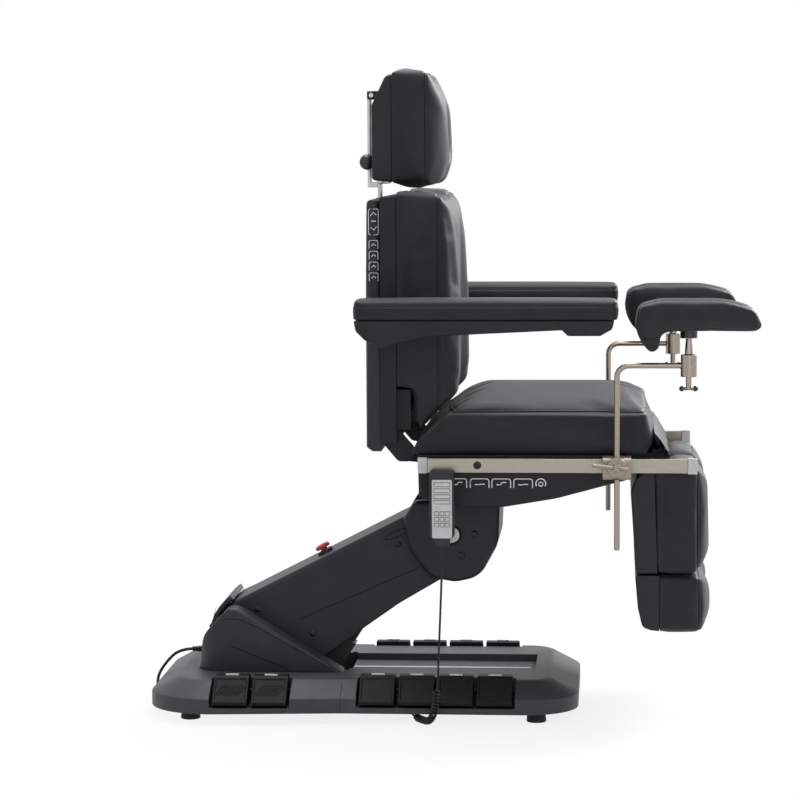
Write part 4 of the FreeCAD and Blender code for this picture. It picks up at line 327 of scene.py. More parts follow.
# Base: a low injection-moulded cover over a welded steel plate frame on four rubber feet. A long
# channel takes the arm when the seat is down, and a pale strip is let into the channel's floor.
def moulded(name, colour, roughness, grain_mm, shine):
    material, tree = blank(name)
    place = add(tree, "TexCoord", {}, {}).outputs["Object"]
    cloud = add(tree, "TexNoise", {"Scale": 1000 / 90, "Detail": 5.0}, {"Vector": place})
    spark = add(tree, "TexNoise", {"Scale": 1000 / grain_mm, "Detail": 3.0}, {"Vector": place})
    wipe = add(tree, "TexNoise", {"Scale": 1000 / 14, "Detail": 6.0, "Distortion": 1.2}, {"Vector": place})
    tint = tinted(tree, cloud, scaled(colour, 0.86), scaled(colour, 1.16), 0.3, 0.75)
    rough = add(tree, "MapRange", {"To Min": roughness - 0.07, "To Max": roughness + 0.09},
                {"Value": wipe.outputs["Fac"]})
    bump = add(tree, "Bump", {"Strength": 0.35, "Distance": 0.00025}, {"Height": spark.outputs["Fac"]})
    shaded(tree, {"IOR": 1.53, "Specular IOR Level": shine},
           {"Base Color": tint, "Roughness": rough.outputs[0], "Normal": bump.outputs[0]})
    return material


# Spark-eroded ABS is matt, with the mould's fine tooth of about 0.4 mm, drawn at 1.6 mm so that it
# shows. Powder coat is rougher and darker, and the pale ink is an even satin.
base_abs = moulded("charcoal_abs_base", "#46454b", 0.48, 1.6, 0.26)
steel_paint = moulded("black_powder_coat", "#161517", 0.58, 0.9, 0.3)
pale_ink = moulded("pale_printed_ink", "#f1f1f2", 0.5, 0.8, 0.3)


def dress(node, material):
    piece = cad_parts[node]
    piece.data.materials.clear()
    piece.data.materials.append(material)


# A drawn curve made into a mesh piece of its own.
def traced(name, data, material, body):
    drawn = bpy.data.objects.new(name, data)
    scene.collection.objects.link(drawn)
    bpy.context.view_layer.update()
    mesh = bpy.data.meshes.new_from_object(drawn)
    bpy.data.objects.remove(drawn)
    mesh.materials.clear()
    mesh.materials.append(material)
    piece = bpy.data.objects.new(name, mesh)
    scene.collection.objects.link(piece)
    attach(piece, body)
    return piece


# Cast lines of x and z from the near and the far side onto a finished piece, and lay thin strokes there.
def strokes(names, lines, onto, width, body, material):
    surface = bmesh.new()
    surface.from_mesh(onto.data)
    tree = BVHTree.FromBMesh(surface)
    surface.free()
    for s, name in zip((-1, 1), names):
        toward = Vector((0, -s, 0))
        data = bpy.data.curves.new(name, "CURVE")
        data.dimensions = "3D"
        data.bevel_depth = width / 2
        data.bevel_resolution = 1
        data.use_fill_caps = True
        for line in lines:
            found = [tree.ray_cast(Vector((x, s * 0.5, z)), toward)[0] for x, z in line]
            found = [point for point in found if point is not None]
            if len(found) < 2:
                continue
            spline = data.splines.new("POLY")
            spline.points.add(len(found) - 1)
            for point, place in zip(spline.points, found):
                point.co = (*(place + toward * width * 0.2), 1.0)
        traced(name, data, material, body)


deck_edge = 0.0855
deck_rear, deck_front, deck_side = -0.57, 0.2, 0.2
apron_break = 0.054
bay_inner = 0.19
pedal_bays = ((-0.4325, 0.094), (-0.0305, 0.179))


def deck_rim(p):
    outside = abs(p.y) > deck_side or p.x > deck_front or p.x < deck_rear
    in_bay = any(abs(p.x - middle) < half and abs(p.y) > bay_inner for middle, half in pedal_bays)
    return p.z > deck_edge and outside and not in_bay


bm = solid("base_shell")
eased(bm, 0.007, 4, deck_rim)
eased(bm, 0.003, 3, lambda p: abs(p.z - apron_break) < 0.0005, 12)
eased(bm, 0.0012, 2, lambda p: abs(p.z - apron_break) > 0.004)
base = finished("base_cover", bm, "base", [base_abs], ["base_shell"])
dress("base_frame", steel_paint)

feet = eased(solid("base_feet"), 0.003, 3)
finished("rubber_feet", feet, "base", [rubber_black], ["base_feet"])


def block(bm, centre, size):
    matrix = Matrix.Translation(centre) @ Matrix.Diagonal((*size, 1))
    return bmesh.ops.create_cube(bm, size=1.0, matrix=matrix)


bm = bmesh.new()
block(bm, (-0.0315, 0.0, 0.0744), (0.397, 0.012, 0.0016))
eased(bm, 0.0005, 2)
finished("channel_strip", bm, "base", [pale_ink])

# A parting line between mouldings is a shadow, so it is drawn as painted shade, dark and dull.
groove_shade_paint = moulded("painted_shade_parting_line", "#0b0b0c", 0.7, 0.9, 0.1)
split_x = -0.236
# The base's parting line is a dark stroke of painted shade.
strokes(("base_parting_line_near", "base_parting_line_far"),
        [[(split_x, z / 1000) for z in range(26, 86, 4)]], base, 0.0012, "base", groove_shade_paint)


# Pedals: twelve rocker treads of black nylon, each hinged on a bar at its inner edge. A raised rim
# runs round the tread and a pale bar lies along its top edge; the rear ones have slanting ribs.
rim_width = 0.007
rib_pitch = 0.0062
rib_slant = math.radians(34)
# Moulded nylon is near black, with a dull waxy shine.
pedal_nylon = moulded("black_nylon_pedal", "#0c0b0d", 0.5, 1.2, 0.16)
for node in [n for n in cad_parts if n.startswith("pedal_")]:
    bm = solid(node)
    low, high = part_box(node)
    out = -1 if "near" in node else 1
    slope = [f for f in bm.faces if f.normal.z > 0.3 and f.normal.y * out > 0.3 and f.calc_area() > 0.002]
    bmesh.ops.inset_individual(bm, faces=slope, thickness=rim_width, depth=0.0)
    bmesh.ops.inset_individual(bm, faces=slope, thickness=0.0012, depth=-0.0018)
    treads = [(f.calc_center_median(), f.normal.copy()) for f in slope]
    eased(bm, 0.002, 3, lambda p: p.z > low.z + 0.004 and min(p.x - low.x, high.x - p.x) < 1e-4)
    eased(bm, 0.0006, 2, None, 32)
    middle = (low.x + high.x) / 2
    inner = high.y if out < 0 else low.y
    for centre, normal in treads if "rear" in node else []:
        down = Vector((0, normal.z * out, -abs(normal.y))).normalized()
        tread_turn = Matrix((Vector((1, 0, 0)), down, normal)).transposed().to_4x4()
        for i in range(-4, 5):
            rib = (Matrix.Translation(centre) @ tread_turn @ Matrix.Translation((i * rib_pitch, 0, 0.0004))
                   @ Matrix.Rotation(rib_slant, 4, "Z") @ Matrix.Diagonal((0.0018, 0.034, 0.0016, 1)))
            bmesh.ops.create_cube(bm, size=1.0, matrix=rib)
    faces = set(bm.faces)
    block(bm, (middle, inner + out * 0.020, high.z + 0.0008), (0.028, 0.006, 0.0036))
    for face in bm.faces:
        face.material_index = 0 if face in faces else 1
    finished(node + "_tread", bm, node, [pedal_nylon, pale_ink], [node])


# Tower: a moulded cover that hides the arm's lower pivot, two hollow cheeks joined by a hood behind.
# Two swept parting lines run across each cheek, drawn as dark strokes of painted shade.
tower_abs = moulded("charcoal_abs_tower", "#333238", 0.48, 1.6, 0.24)
lift = Vector((-0.4275, 0.0, 0.152))
cheek_out, cheek_in = 0.150, 0.092
bm = solid("tower_cover")
eased(bm, 0.009, 5, lambda p: abs(p.y) > cheek_out - 0.0005 and p.z > 0.1 and p.x > lift.x - 0.078,
      convex=True)
eased(bm, 0.004, 3, lambda p: abs(abs(p.y) - cheek_in) < 0.0015 and p.z > 0.1)
eased(bm, 0.0018, 2)
tower = finished("tower", bm, "base", [tower_abs], ["tower_cover"])
swept = [[(-0.545, 0.178), (-0.53, 0.193), (-0.511, 0.2015), (-0.49, 0.2055), (-0.469, 0.2035),
          (-0.44, 0.191), (-0.406, 0.1735), (-0.35, 0.142), (-0.291, 0.109), (-0.268, 0.0955)],
         [(-0.548, 0.162), (-0.52, 0.155), (-0.48, 0.141), (-0.44, 0.125), (-0.40, 0.109), (-0.364, 0.094)]]
strokes(("tower_swept_lines", "tower_swept_lines_far"), swept, tower, 0.0016, "base",
        groove_shade_paint)


# Lift arm: a painted aluminium casting on a shaft in the tower and a shaft in the head. A red mushroom
# stop stands in a collar on its top, and the lift motor pushes it from below.
# Sprayed paint on a casting lies smoother than the moulded covers.
arm_paint = moulded("charcoal_painted_casting", "#2f2e33", 0.46, 1.1, 0.2)
arm_slope = math.radians(29.46)
arm_length = 0.488
root_radius = 0.0985
root_reach = 0.02
hood_take_up = 0.004
along = Vector((math.cos(arm_slope), 0, math.sin(arm_slope)))
across = Vector((-along.z, 0, along.x))
bm = solid("lift_arm")


def arm_place(p):
    return (p - lift).dot(along), (p - lift).dot(across)


# The arm's round root swells a little, to close the gap under the hood.
for vert in bm.verts:
    spoke = Vector((vert.co.x - lift.x, 0, vert.co.z - lift.z))
    inside = root_reach - arm_place(vert.co)[0]
    if spoke.length > root_radius and inside > 0:
        vert.co += spoke.normalized() * hood_take_up * min(1.0, inside / 0.05)
eased(bm, 0.010, 4, lambda p: abs(p.y) > 0.0875 and arm_place(p)[1] > 0.0
      and arm_place(p)[0] > -0.12 and (p - lift).length > 0.03
      and (p - lift - along * arm_length).length > 0.03)
eased(bm, 0.0015, 2)
arm = finished("lift_arm_cover", bm, "arm", [arm_paint], ["lift_arm"])

# Blackened steel is almost black, with a small clear glint.
screw_black = moulded("black_oxide_screw", "#070708", 0.34, 0.8, 0.35)


# Button screw with a hexagon socket.
def screw(bm, place, normal, radius):
    lathe(bm, place, normal, [(-0.001, radius), (0.0, radius), (0.0012, radius * 0.93),
                              (0.0022, radius * 0.72), (0.0024, radius * 0.5), (0.0004, radius * 0.48)], 20)
    lathe(bm, place, normal, [(0.0026, radius * 0.56), (0.0002, radius * 0.54), (0.0002, 0.0)], 6)


bm = bmesh.new()
for x, z in ((-0.4378, 0.2173), (-0.3141, 0.1642), (-0.0466, 0.2969), (-0.1239, 0.3654)):
    for s in (-1, 1):
        screw(bm, (x, s * 0.088, z), (0, s, 0), 0.0072)
finished("arm_screws", bm, "arm", [screw_black])
# The arm's panel line and the small oval recess near its top are dark strokes of painted shade.
slant = [(-0.343 + t * 0.303, 0.196 + t * 0.134) for t in [i / 12 for i in range(13)]]
ring = [(-0.1245 + 0.0275 * math.cos(a), 0.3885 + 0.007 * math.sin(a) + 0.012 * math.cos(a))
        for a in [math.radians(20 * k) for k in range(19)]]
strokes(("arm_panel_lines_near", "arm_panel_lines_far"), [slant, ring], arm, 0.0016, "arm",
        groove_shade_paint)

chrome = plated("bright_nickel_chrome", "#a3a2a1", 9, 4.0, 0.12, 0.26)
pins = eased(solid("pivot_shafts"), 0.0012, 2)
finished("pivot_pins", pins, "arm", [chrome], ["pivot_shafts"])

# Red acetal has a soft gloss.
stop_red = moulded("red_acetal_stop", "#c0392f", 0.36, 1.0, 0.45)
# The arm tapers, so the height of its back is worked out where the stop stands.
root_height, tip_height, taper_from = 0.101, 0.082, 0.050
stop_along = 0.207
stop_up = root_height - (root_height - tip_height) / (arm_length - taper_from) * stop_along
button = lift + along * stop_along + across * (stop_up + 0.011)
bm = bmesh.new()
lathe(bm, button, across, [(-0.014, 0.0), (-0.014, 0.0078), (0.0, 0.0078), (0.0004, 0.0162),
                           (0.0018, 0.0169), (0.0052, 0.017), (0.008, 0.0155), (0.0094, 0.012),
                           (0.0099, 0.0078), (0.0092, 0.0048), (0.0086, 0.0)], 36)
finished("stop_button", bm, "estop", [stop_red], ["estop_button"])
collar = lift + along * stop_along + across * stop_up
bm = bmesh.new()
lathe(bm, collar, across, [(-0.004, 0.0128), (0.0062, 0.0128), (0.0068, 0.0134), (0.0068, 0.0172),
                           (0.0055, 0.0188), (-0.004, 0.0192), (-0.004, 0.0128)], 36)
finished("stop_collar", bm, "arm", [screw_black])

# A motor housing has a dull grey paint.
motor_grey = moulded("grey_motor_housing", "#3a3a3d", 0.5, 1.2, 0.3)
dress("lift_actuator", motor_grey)
dress("lift_actuator_rod", chrome)


# Head housing: a moulded ABS fork over the arm's upper end. It stays level as the arm lifts, and
# two socket screws hold its side cover.
head_abs = moulded("charcoal_abs_head", "#2a292e", 0.42, 1.5, 0.2)
head_level = 0.392
hub = Vector((-0.0026, 0.0, head_level))
bm = solid("head_housing")
eased(bm, 0.012, 5, lambda p: abs(p.y) > 0.1275 and (p - hub).length > 0.03)
eased(bm, 0.0018, 2)
finished("head_cover", bm, "head", [head_abs], ["head_housing"])
bm = bmesh.new()
for x, z in ((0.0483, 0.3932), (0.0186, 0.346)):
    for s in (-1, 1):
        screw(bm, (x, s * 0.128, z), (0, s, 0), 0.0082)
finished("head_screws", bm, "head", [screw_black])


# Seat: a welded frame in a moulded undercover, with a stainless accessory rail on each side and
# raised pale symbols for the drives. The foam cushion is covered in vinyl with a seam round its top.
under_abs = moulded("black_abs_undercover", "#252429", 0.46, 1.5, 0.18)
dress("seat_frame", steel_paint)
bm = solid("seat_undercover")
eased(bm, 0.007, 4, lambda p: abs(p.y) > 0.2855 and p.z < 0.575)
eased(bm, 0.0015, 2)
under = finished("seat_under_shell", bm, "seat", [under_abs], ["seat_undercover"])
symbols = []
wide = 0.040
for i, left in enumerate((-0.0005, 0.0471, 0.0933, 0.140)):
    symbols.append([(left, 0.515), (left, 0.529), (left + 0.0012, 0.5325), (left + 0.004, 0.5345),
                    (left + wide - 0.004, 0.5345), (left + wide - 0.0012, 0.5325), (left + wide, 0.529),
                    (left + wide, 0.515)])
    symbols.append([(left + 0.010, 0.522), (left + 0.019, 0.522), (left + 0.022, 0.527 - 0.004 * (i % 2)),
                    (left + 0.031, 0.527 - 0.004 * (i % 2))])
symbols.append([(0.1977 + 0.0105 * math.cos(a), 0.5245 + 0.0105 * math.sin(a))
                for a in [math.radians(210 - 15 * k) for k in range(17)]])
symbols.append([(0.1977 + 0.0045 * math.cos(a), 0.5235 + 0.0045 * math.sin(a))
                for a in [math.radians(30 * k) for k in range(13)]])
strokes(("drive_symbols_near", "drive_symbols_far"), symbols, under, 0.0026, "seat",
        pale_ink)


# Brushed stainless: long fine scratches along the bar, about 0.2 mm wide, drawn at 1 mm.
def brushed(name, colour, roughness, stretch):
    material, tree = blank(name)
    place = add(tree, "TexCoord", {}, {}).outputs["Object"]
    grain = add(tree, "Mapping", {"Scale": stretch}, {"Vector": place})
    scratch = add(tree, "TexNoise", {"Scale": 1000 / 1.0, "Detail": 4.0}, {"Vector": grain.outputs[0]})
    cloud = add(tree, "TexNoise", {"Scale": 1000 / 40, "Detail": 3.0}, {"Vector": place})
    tint = tinted(tree, scratch, scaled(colour, 0.8), scaled(colour, 1.12), 0.25, 0.8)
    rough = add(tree, "MapRange", {"To Min": roughness - 0.06, "To Max": roughness + 0.1},
                {"Value": cloud.outputs["Fac"]})
    bump = add(tree, "Bump", {"Strength": 0.12, "Distance": 0.0001}, {"Height": scratch.outputs["Fac"]})
    shaded(tree, {"Metallic": 1.0},
           {"Base Color": tint, "Roughness": rough.outputs[0], "Normal": bump.outputs[0]})
    return material


rail_steel = brushed("brushed_stainless_rail", "#a39c92", 0.34, (0.02, 1.0, 1.0))
# The rails' end caps are moulded in an even pale grey.
cap_grey = moulded("silver_grey_end_caps", "#cfcfcf", 0.42, 1.0, 0.4)
rear_cap, front_cap = -0.0436, 0.5094
bm = eased(solid("side_rails"), 0.0012, 2)
for face in bm.faces:
    face.material_index = 0 if rear_cap <= face.calc_center_median().x <= front_cap else 1
finished("side_rails_bright", bm, "seat", [rail_steel, cap_grey], ["side_rails"])
bm = bmesh.new()
for s in (-1, 1):
    screw(bm, (0.0634, s * 0.310, 0.566), (0, s, 0), 0.0086)
finished("rail_screws", bm, "seat", [screw_black])


# Embossed vinyl: a pebble grain of about 1.2 mm, drawn at 2.4 mm so that it shows, with broad soft
# creases and a low, slightly uneven sheen.
vinyl, tree = blank("charcoal_embossed_vinyl")
place = add(tree, "TexCoord", {}, {}).outputs["Object"]
pebble = add(tree, "TexVoronoi", {"Scale": 1000 / 2.4, "Randomness": 0.9}, {"Vector": place})
crease = add(tree, "TexNoise", {"Scale": 1000 / 70, "Detail": 3.0, "Distortion": 0.6}, {"Vector": place})
cloud = add(tree, "TexNoise", {"Scale": 1000 / 120, "Detail": 5.0}, {"Vector": place})
tint = tinted(tree, cloud, linear("#211f24"), linear("#29282d"), 0.3, 0.72)
rough = add(tree, "MapRange", {"From Min": 0.0, "From Max": 0.9, "To Min": 0.42, "To Max": 0.6},
            {"Value": pebble.outputs["Distance"]})
grain = add(tree, "Bump", {"Strength": 0.22, "Distance": 0.0003}, {"Height": pebble.outputs["Distance"]})
soft = add(tree, "Bump", {"Strength": 0.2, "Distance": 0.003},
           {"Height": crease.outputs["Fac"], "Normal": grain.outputs[0]})
shaded(tree, {"IOR": 1.5, "Specular IOR Level": 0.2, "Sheen Weight": 0.06, "Sheen Roughness": 0.5},
       {"Base Color": tint, "Roughness": rough.outputs[0], "Normal": soft.outputs[0]})
# Spun thread is duller than the vinyl.
thread = flex("charcoal_stitching_thread", "#1b1a1d", 0.7, 0.6)


# A stuffed cover: the foam block is skinned with a fine mesh, drawn in a little, and blown up again
# as cloth with its carried side held, so that it crowns between its seams.
blow_frames = 20


def stuffed(name, node, body, held, slack, reach, cell, near=None):
    bm = bmesh.new()
    bm.from_mesh(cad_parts[node].data)
    bmesh.ops.remove_doubles(bm, verts=bm.verts, dist=2e-6)
    mesh = bpy.data.meshes.new(name)
    bm.to_mesh(mesh)
    bm.free()
    mesh.materials.clear()
    piece = bpy.data.objects.new(name, mesh)
    scene.collection.objects.link(piece)
    skin = piece.modifiers.new("skin", "REMESH")
    skin.mode = "VOXEL"
    skin.voxel_size = cell
    deps = bpy.context.evaluated_depsgraph_get()
    piece.data = bpy.data.meshes.new_from_object(piece.evaluated_get(deps))
    piece.modifiers.clear()
    bm = bmesh.new()
    bm.from_mesh(piece.data)
    for step in range(3):
        bmesh.ops.smooth_vert(bm, verts=bm.verts, factor=0.5, use_axis_x=True, use_axis_y=True,
                              use_axis_z=True)
    bm.normal_update()
    pinned = set()
    for vert in bm.verts:
        if held(vert.co):
            pinned.add(vert.index)
        else:
            vert.co -= vert.normal * slack
    bm.to_mesh(piece.data)
    bm.free()
    start = [vert.co.copy() for vert in piece.data.vertices]
    group = piece.vertex_groups.new(name="held")
    group.add(list(pinned), 1.0, "REPLACE")
    cloth = piece.modifiers.new("stuffing", "CLOTH")
    cloth.settings.quality = 4
    cloth.settings.use_pressure = True
    cloth.settings.uniform_pressure_force = 4.0
    cloth.settings.tension_stiffness = 18.0
    cloth.settings.compression_stiffness = 18.0
    cloth.settings.bending_stiffness = 2.0
    cloth.settings.vertex_group_mass = "held"
    cloth.settings.effector_weights.gravity = 0.0
    cloth.point_cache.frame_start = 1
    cloth.point_cache.frame_end = blow_frames
    for step in range(1, blow_frames + 1):
        scene.frame_set(step)
    deps = bpy.context.evaluated_depsgraph_get()
    blown = piece.evaluated_get(deps).to_mesh()
    ends = [vert.co.copy() for vert in blown.vertices]
    piece.evaluated_get(deps).to_mesh_clear()
    piece.modifiers.clear()
    piece.vertex_groups.clear()
    for vert, a, b in zip(piece.data.vertices, start, ends):
        move = b - a
        most = slack + 0.0015 if near and near(a) else reach
        vert.co = a + (move if move.length < most else move * (most / move.length))
    scene.frame_set(1)
    bm = bmesh.new()
    bm.from_mesh(piece.data)
    loose = [vert for vert in bm.verts if vert.index not in pinned]
    for step in range(5):
        bmesh.ops.smooth_vert(bm, verts=loose, factor=0.5, use_axis_x=True, use_axis_y=True,
                              use_axis_z=True)
    bm.to_mesh(piece.data)
    bm.free()
    finer = piece.modifiers.new("finer", "SUBSURF")
    finer.levels = finer.render_levels = 1
    deps = bpy.context.evaluated_depsgraph_get()
    piece.data = bpy.data.meshes.new_from_object(piece.evaluated_get(deps))
    piece.modifiers.clear()
    piece.data.shade_smooth()
    piece.data.materials.clear()
    piece.data.materials.append(vinyl)
    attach(piece, body)
    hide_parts(node)
    return piece


# A sewn seam: the cover dips along a plane, and a thin welt lies in the dip with a row of stitches
# on one side of it.
dip_width = 0.0036
stitch_pitch = 0.0052
stitch_length = 0.0034
thread_radius = 0.00055


# The lines in which a plane cuts a piece, each walked from its first point so that every run gives the
# same stitches.
def section(piece, place, normal):
    bm = bmesh.new()
    bm.from_mesh(piece.data)
    bmesh.ops.bisect_plane(bm, geom=bm.verts[:] + bm.edges[:] + bm.faces[:], dist=1e-7, plane_co=place,
                           plane_no=normal, clear_outer=True, clear_inner=True)
    loops = []
    waiting = dict.fromkeys(bm.verts)
    while waiting:
        line = [next(iter(waiting))]
        del waiting[line[0]]
        while True:
            near = [e.other_vert(line[-1]) for e in line[-1].link_edges]
            near = [v for v in near if v in waiting]
            if not near:
                break
            del waiting[near[0]]
            line.append(near[0])
        loops.append([v.co.copy() for v in line])
    bm.free()
    return [line for line in loops if len(line) > 12]


def seam(piece, place, normal, body, name, welt, stitch_off, depth=0.0022):
    normal = Vector(normal).normalized()
    place = Vector(place)
    moves = []
    for vert in piece.data.vertices:
        away = (vert.co - place).dot(normal) / dip_width
        if abs(away) < 3:
            moves.append((vert.index, vert.co - vert.normal * depth * math.exp(-away * away)))
    for index, co in moves:
        piece.data.vertices[index].co = co
    data = bpy.data.curves.new(name, "CURVE")
    data.dimensions = "3D"
    data.bevel_depth = welt
    data.bevel_resolution = 1
    for line in section(piece, place, normal):
        spline = data.splines.new("POLY")
        spline.points.add(len(line) - 1)
        for point, p in zip(spline.points, line):
            point.co = (*p, 1.0)
        spline.use_cyclic_u = (line[0] - line[-1]).length < 0.02
    rows = bpy.data.curves.new(name + "_stitches", "CURVE")
    rows.dimensions = "3D"
    rows.bevel_depth = thread_radius
    rows.bevel_resolution = 0
    for line in section(piece, place + normal * stitch_off, normal):
        run = 0.0
        for a, b in zip(line, line[1:]):
            run += (b - a).length
            if run > stitch_pitch:
                run = 0.0
                spline = rows.splines.new("POLY")
                spline.points.add(1)
                ahead = (b - a).normalized() * stitch_length
                spline.points[0].co = (*a, 1.0)
                spline.points[1].co = (*(a + ahead), 1.0)
    for curve_data, label, material in ((data, name, vinyl), (rows, name + "_stitches", thread)):
        traced(label, curve_data, material, body).data.shade_smooth()


seat_pad = stuffed("seat_pad", "seat_cushion", "seat", lambda p: p.z < head_level + 0.1965, slack=0.005,
                   reach=0.011, cell=0.007, near=lambda p: p.x < -0.05 and p.z > 0.65)
seam(seat_pad, (0, 0, head_level + 0.284), (0, 0, 1), "seat", "seat_welt", welt=0.0016, stitch_off=0.006)


# Knee flap: a strip of the same vinyl sewn to the seat's front edge. It hangs over the gap above the
# leg rests.
flap_width = 0.536
flap_strips = 24
flap_top, flap_foot = 0.6320, 0.5800
ripple, ripple_pace = 0.0022, 41
bm = bmesh.new()
line = [(0.4390, flap_top), (0.4475, 0.6240), (0.4555, 0.6120), (0.4625, 0.6000), (0.4690, 0.5880),
        (0.4725, flap_foot)]
verts = [bm.verts.new((x, -flap_width / 2, z)) for x, z in line]
edges = [bm.edges.new(pair) for pair in zip(verts, verts[1:])]
for i in range(flap_strips):
    made = bmesh.ops.extrude_edge_only(bm, edges=edges)
    verts = [v for v in made["geom"] if isinstance(v, bmesh.types.BMVert)]
    edges = [e for e in made["geom"] if isinstance(e, bmesh.types.BMEdge)]
    edges = [e for e in edges if all(v in verts for v in e.verts)]
    bmesh.ops.translate(bm, verts=verts, vec=(0, flap_width / flap_strips, 0))
bmesh.ops.recalc_face_normals(bm, faces=bm.faces)
for vert in bm.verts:
    drop = max(0.0, (flap_top - vert.co.z) / (flap_top - flap_foot))
    vert.co.x += ripple * drop * math.sin(vert.co.y * ripple_pace)
flap_mesh = bpy.data.meshes.new("knee_flap")
bm.to_mesh(flap_mesh)
bm.free()
flap_mesh.materials.append(vinyl)
flap_mesh.shade_smooth()
flap = bpy.data.objects.new("knee_flap", flap_mesh)
scene.collection.objects.link(flap)
thick = flap.modifiers.new("vinyl_thickness", "SOLIDIFY")
thick.thickness = 0.0016
finer = flap.modifiers.new("finer", "SUBSURF")
finer.levels = finer.render_levels = 1
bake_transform(flap)


# Back: a vinyl cushion with two raised side bolsters on a moulded board, in a moulded rear shell with
# raised pale symbols down its edge. It reclines on ears at the back of the seat frame.
recline = Vector((-0.0956, 0.0, 0.582))
back_abs = moulded("charcoal_abs_back", "#333237", 0.48, 1.5, 0.22)
bm = solid("back_shell")
eased(bm, 0.004, 3, lambda p: p.x < recline.x - 0.056, 40)
back_cover = finished("back_rear_shell", bm, "back", [back_abs], ["back_shell"])
dress("back_frame", under_abs)
symbols = [[(-0.172, 1.057), (-0.172, 1.105), (-0.170, 1.109), (-0.153, 1.109), (-0.151, 1.105),
            (-0.151, 1.057), (-0.153, 1.054), (-0.170, 1.054), (-0.172, 1.057)],
           [(-0.168, 1.094), (-0.162, 1.102), (-0.155, 1.096)],
           [(-0.168, 1.070), (-0.160, 1.064), (-0.155, 1.072)], [(-0.166, 1.083), (-0.156, 1.083)]]
for i in range(4):
    low = 1.024 - i * 0.0232
    symbols += [[(-0.171, low), (-0.171, low + 0.015), (-0.169, low + 0.018), (-0.154, low + 0.018),
                 (-0.152, low + 0.015), (-0.152, low)],
                [(-0.166, low + 0.006), (-0.162, low + 0.011), (-0.157, low + 0.007)]]
strokes(("back_symbols_near", "back_symbols_far"), symbols, back_cover, 0.0022, "back",
        pale_ink)
back_pad = stuffed("back_pad", "back_cushion", "back", lambda p: p.x < recline.x - 0.0145, slack=0.005,
                   reach=0.010, cell=0.007, near=lambda p: p.z < 0.74)
seam(back_pad, (recline.x + 0.072, 0, 0), (1, 0, 0), "back", "back_welt", welt=0.0016, stitch_off=0.006)


# Armrests: a moulded tray with a swept elbow on a stub shaft in the back's side, kept level by a
# linkage, under a long vinyl pad with a seam round its top edge.
arm_tray = moulded("black_abs_armrest", "#26252a", 0.44, 1.5, 0.2)
elbow = Vector((-0.1256, 0.0, 0.860))
tray_sides = (0.318, 0.386)


def on_side(p, sides):
    return min(abs(abs(p.y) - y) for y in sides) < 0.0005


for side in ("near", "far"):
    body = "armrest_" + side
    bm = solid("armrest_shell_" + side)
    eased(bm, 0.006, 4, lambda p: on_side(p, tray_sides) and p.z < elbow.z + 0.012
          and (p - Vector((elbow.x, p.y, elbow.z))).length > 0.016)
    eased(bm, 0.0012, 2)
    finished("armrest_tray_" + side, bm, body, [arm_tray], ["armrest_shell_" + side])
    pad = stuffed("armrest_top_" + side, "armrest_pad_" + side, body, lambda p: p.z < elbow.z + 0.0215,
                  slack=0.003, reach=0.006, cell=0.005)
    seam(pad, (0, 0, elbow.z + 0.050), (0, 0, 1), body, "armrest_welt_" + side, welt=0.0012,
         stitch_off=-0.005, depth=0.0016)


# Headrest: a bright steel plate and flat post that slide in the back, a black locking knob, and a
# moulded shell that tilts on the plate's top pin. Its vinyl cushion has an oval hollow for the face.
tilt = Vector((-0.1816, 0.0, 1.355))
plate_steel = brushed("bright_brushed_plate", "#c6c5c3", 0.3, (1.0, 1.0, 0.03))
bm = solid("headrest_bracket")
eased(bm, 0.001, 2, lambda p: math.hypot(p.x - tilt.x, p.z - tilt.z) > 0.03)
finished("headrest_plate", bm, "headrest_post", [plate_steel], ["headrest_bracket"])
# Polished phenolic is black with a sharp glint.
knob_black = moulded("black_phenolic_knob", "#19181b", 0.28, 1.0, 0.5)
centre = Vector((-0.1906, -0.0273, 1.208))
bm = bmesh.new()
lathe(bm, centre, (0, -1, 0), [(-0.012, 0.0), (-0.012, 0.0058), (0.0, 0.0058), (0.0004, 0.0128),
                               (0.003, 0.0165), (0.006, 0.0174), (0.012, 0.0174), (0.016, 0.0155),
                               (0.0195, 0.011), (0.0215, 0.005), (0.022, 0.0)], 32)
finished("lock_knob", bm, "headrest_knob", [knob_black], ["headrest_knob"])
shell_abs = moulded("charcoal_abs_headrest", "#2b2a2f", 0.46, 1.5, 0.2)
bm = solid("headrest_shell")
eased(bm, 0.006, 4, lambda p: abs(p.y) > 0.1315 and tilt.x + 0.012 < p.x < tilt.x + 0.0515)
eased(bm, 0.0015, 2)
finished("headrest_rear_shell", bm, "headrest", [shell_abs], ["headrest_shell"])
head_pad = stuffed("headrest_pad", "headrest_cushion", "headrest", lambda p: p.x < tilt.x + 0.0555,
                   slack=0.004, reach=0.008, cell=0.005)
seam(head_pad, (tilt.x + 0.126, 0, 0), (1, 0, 0), "headrest", "headrest_welt", welt=0.0016,
     stitch_off=0.006)


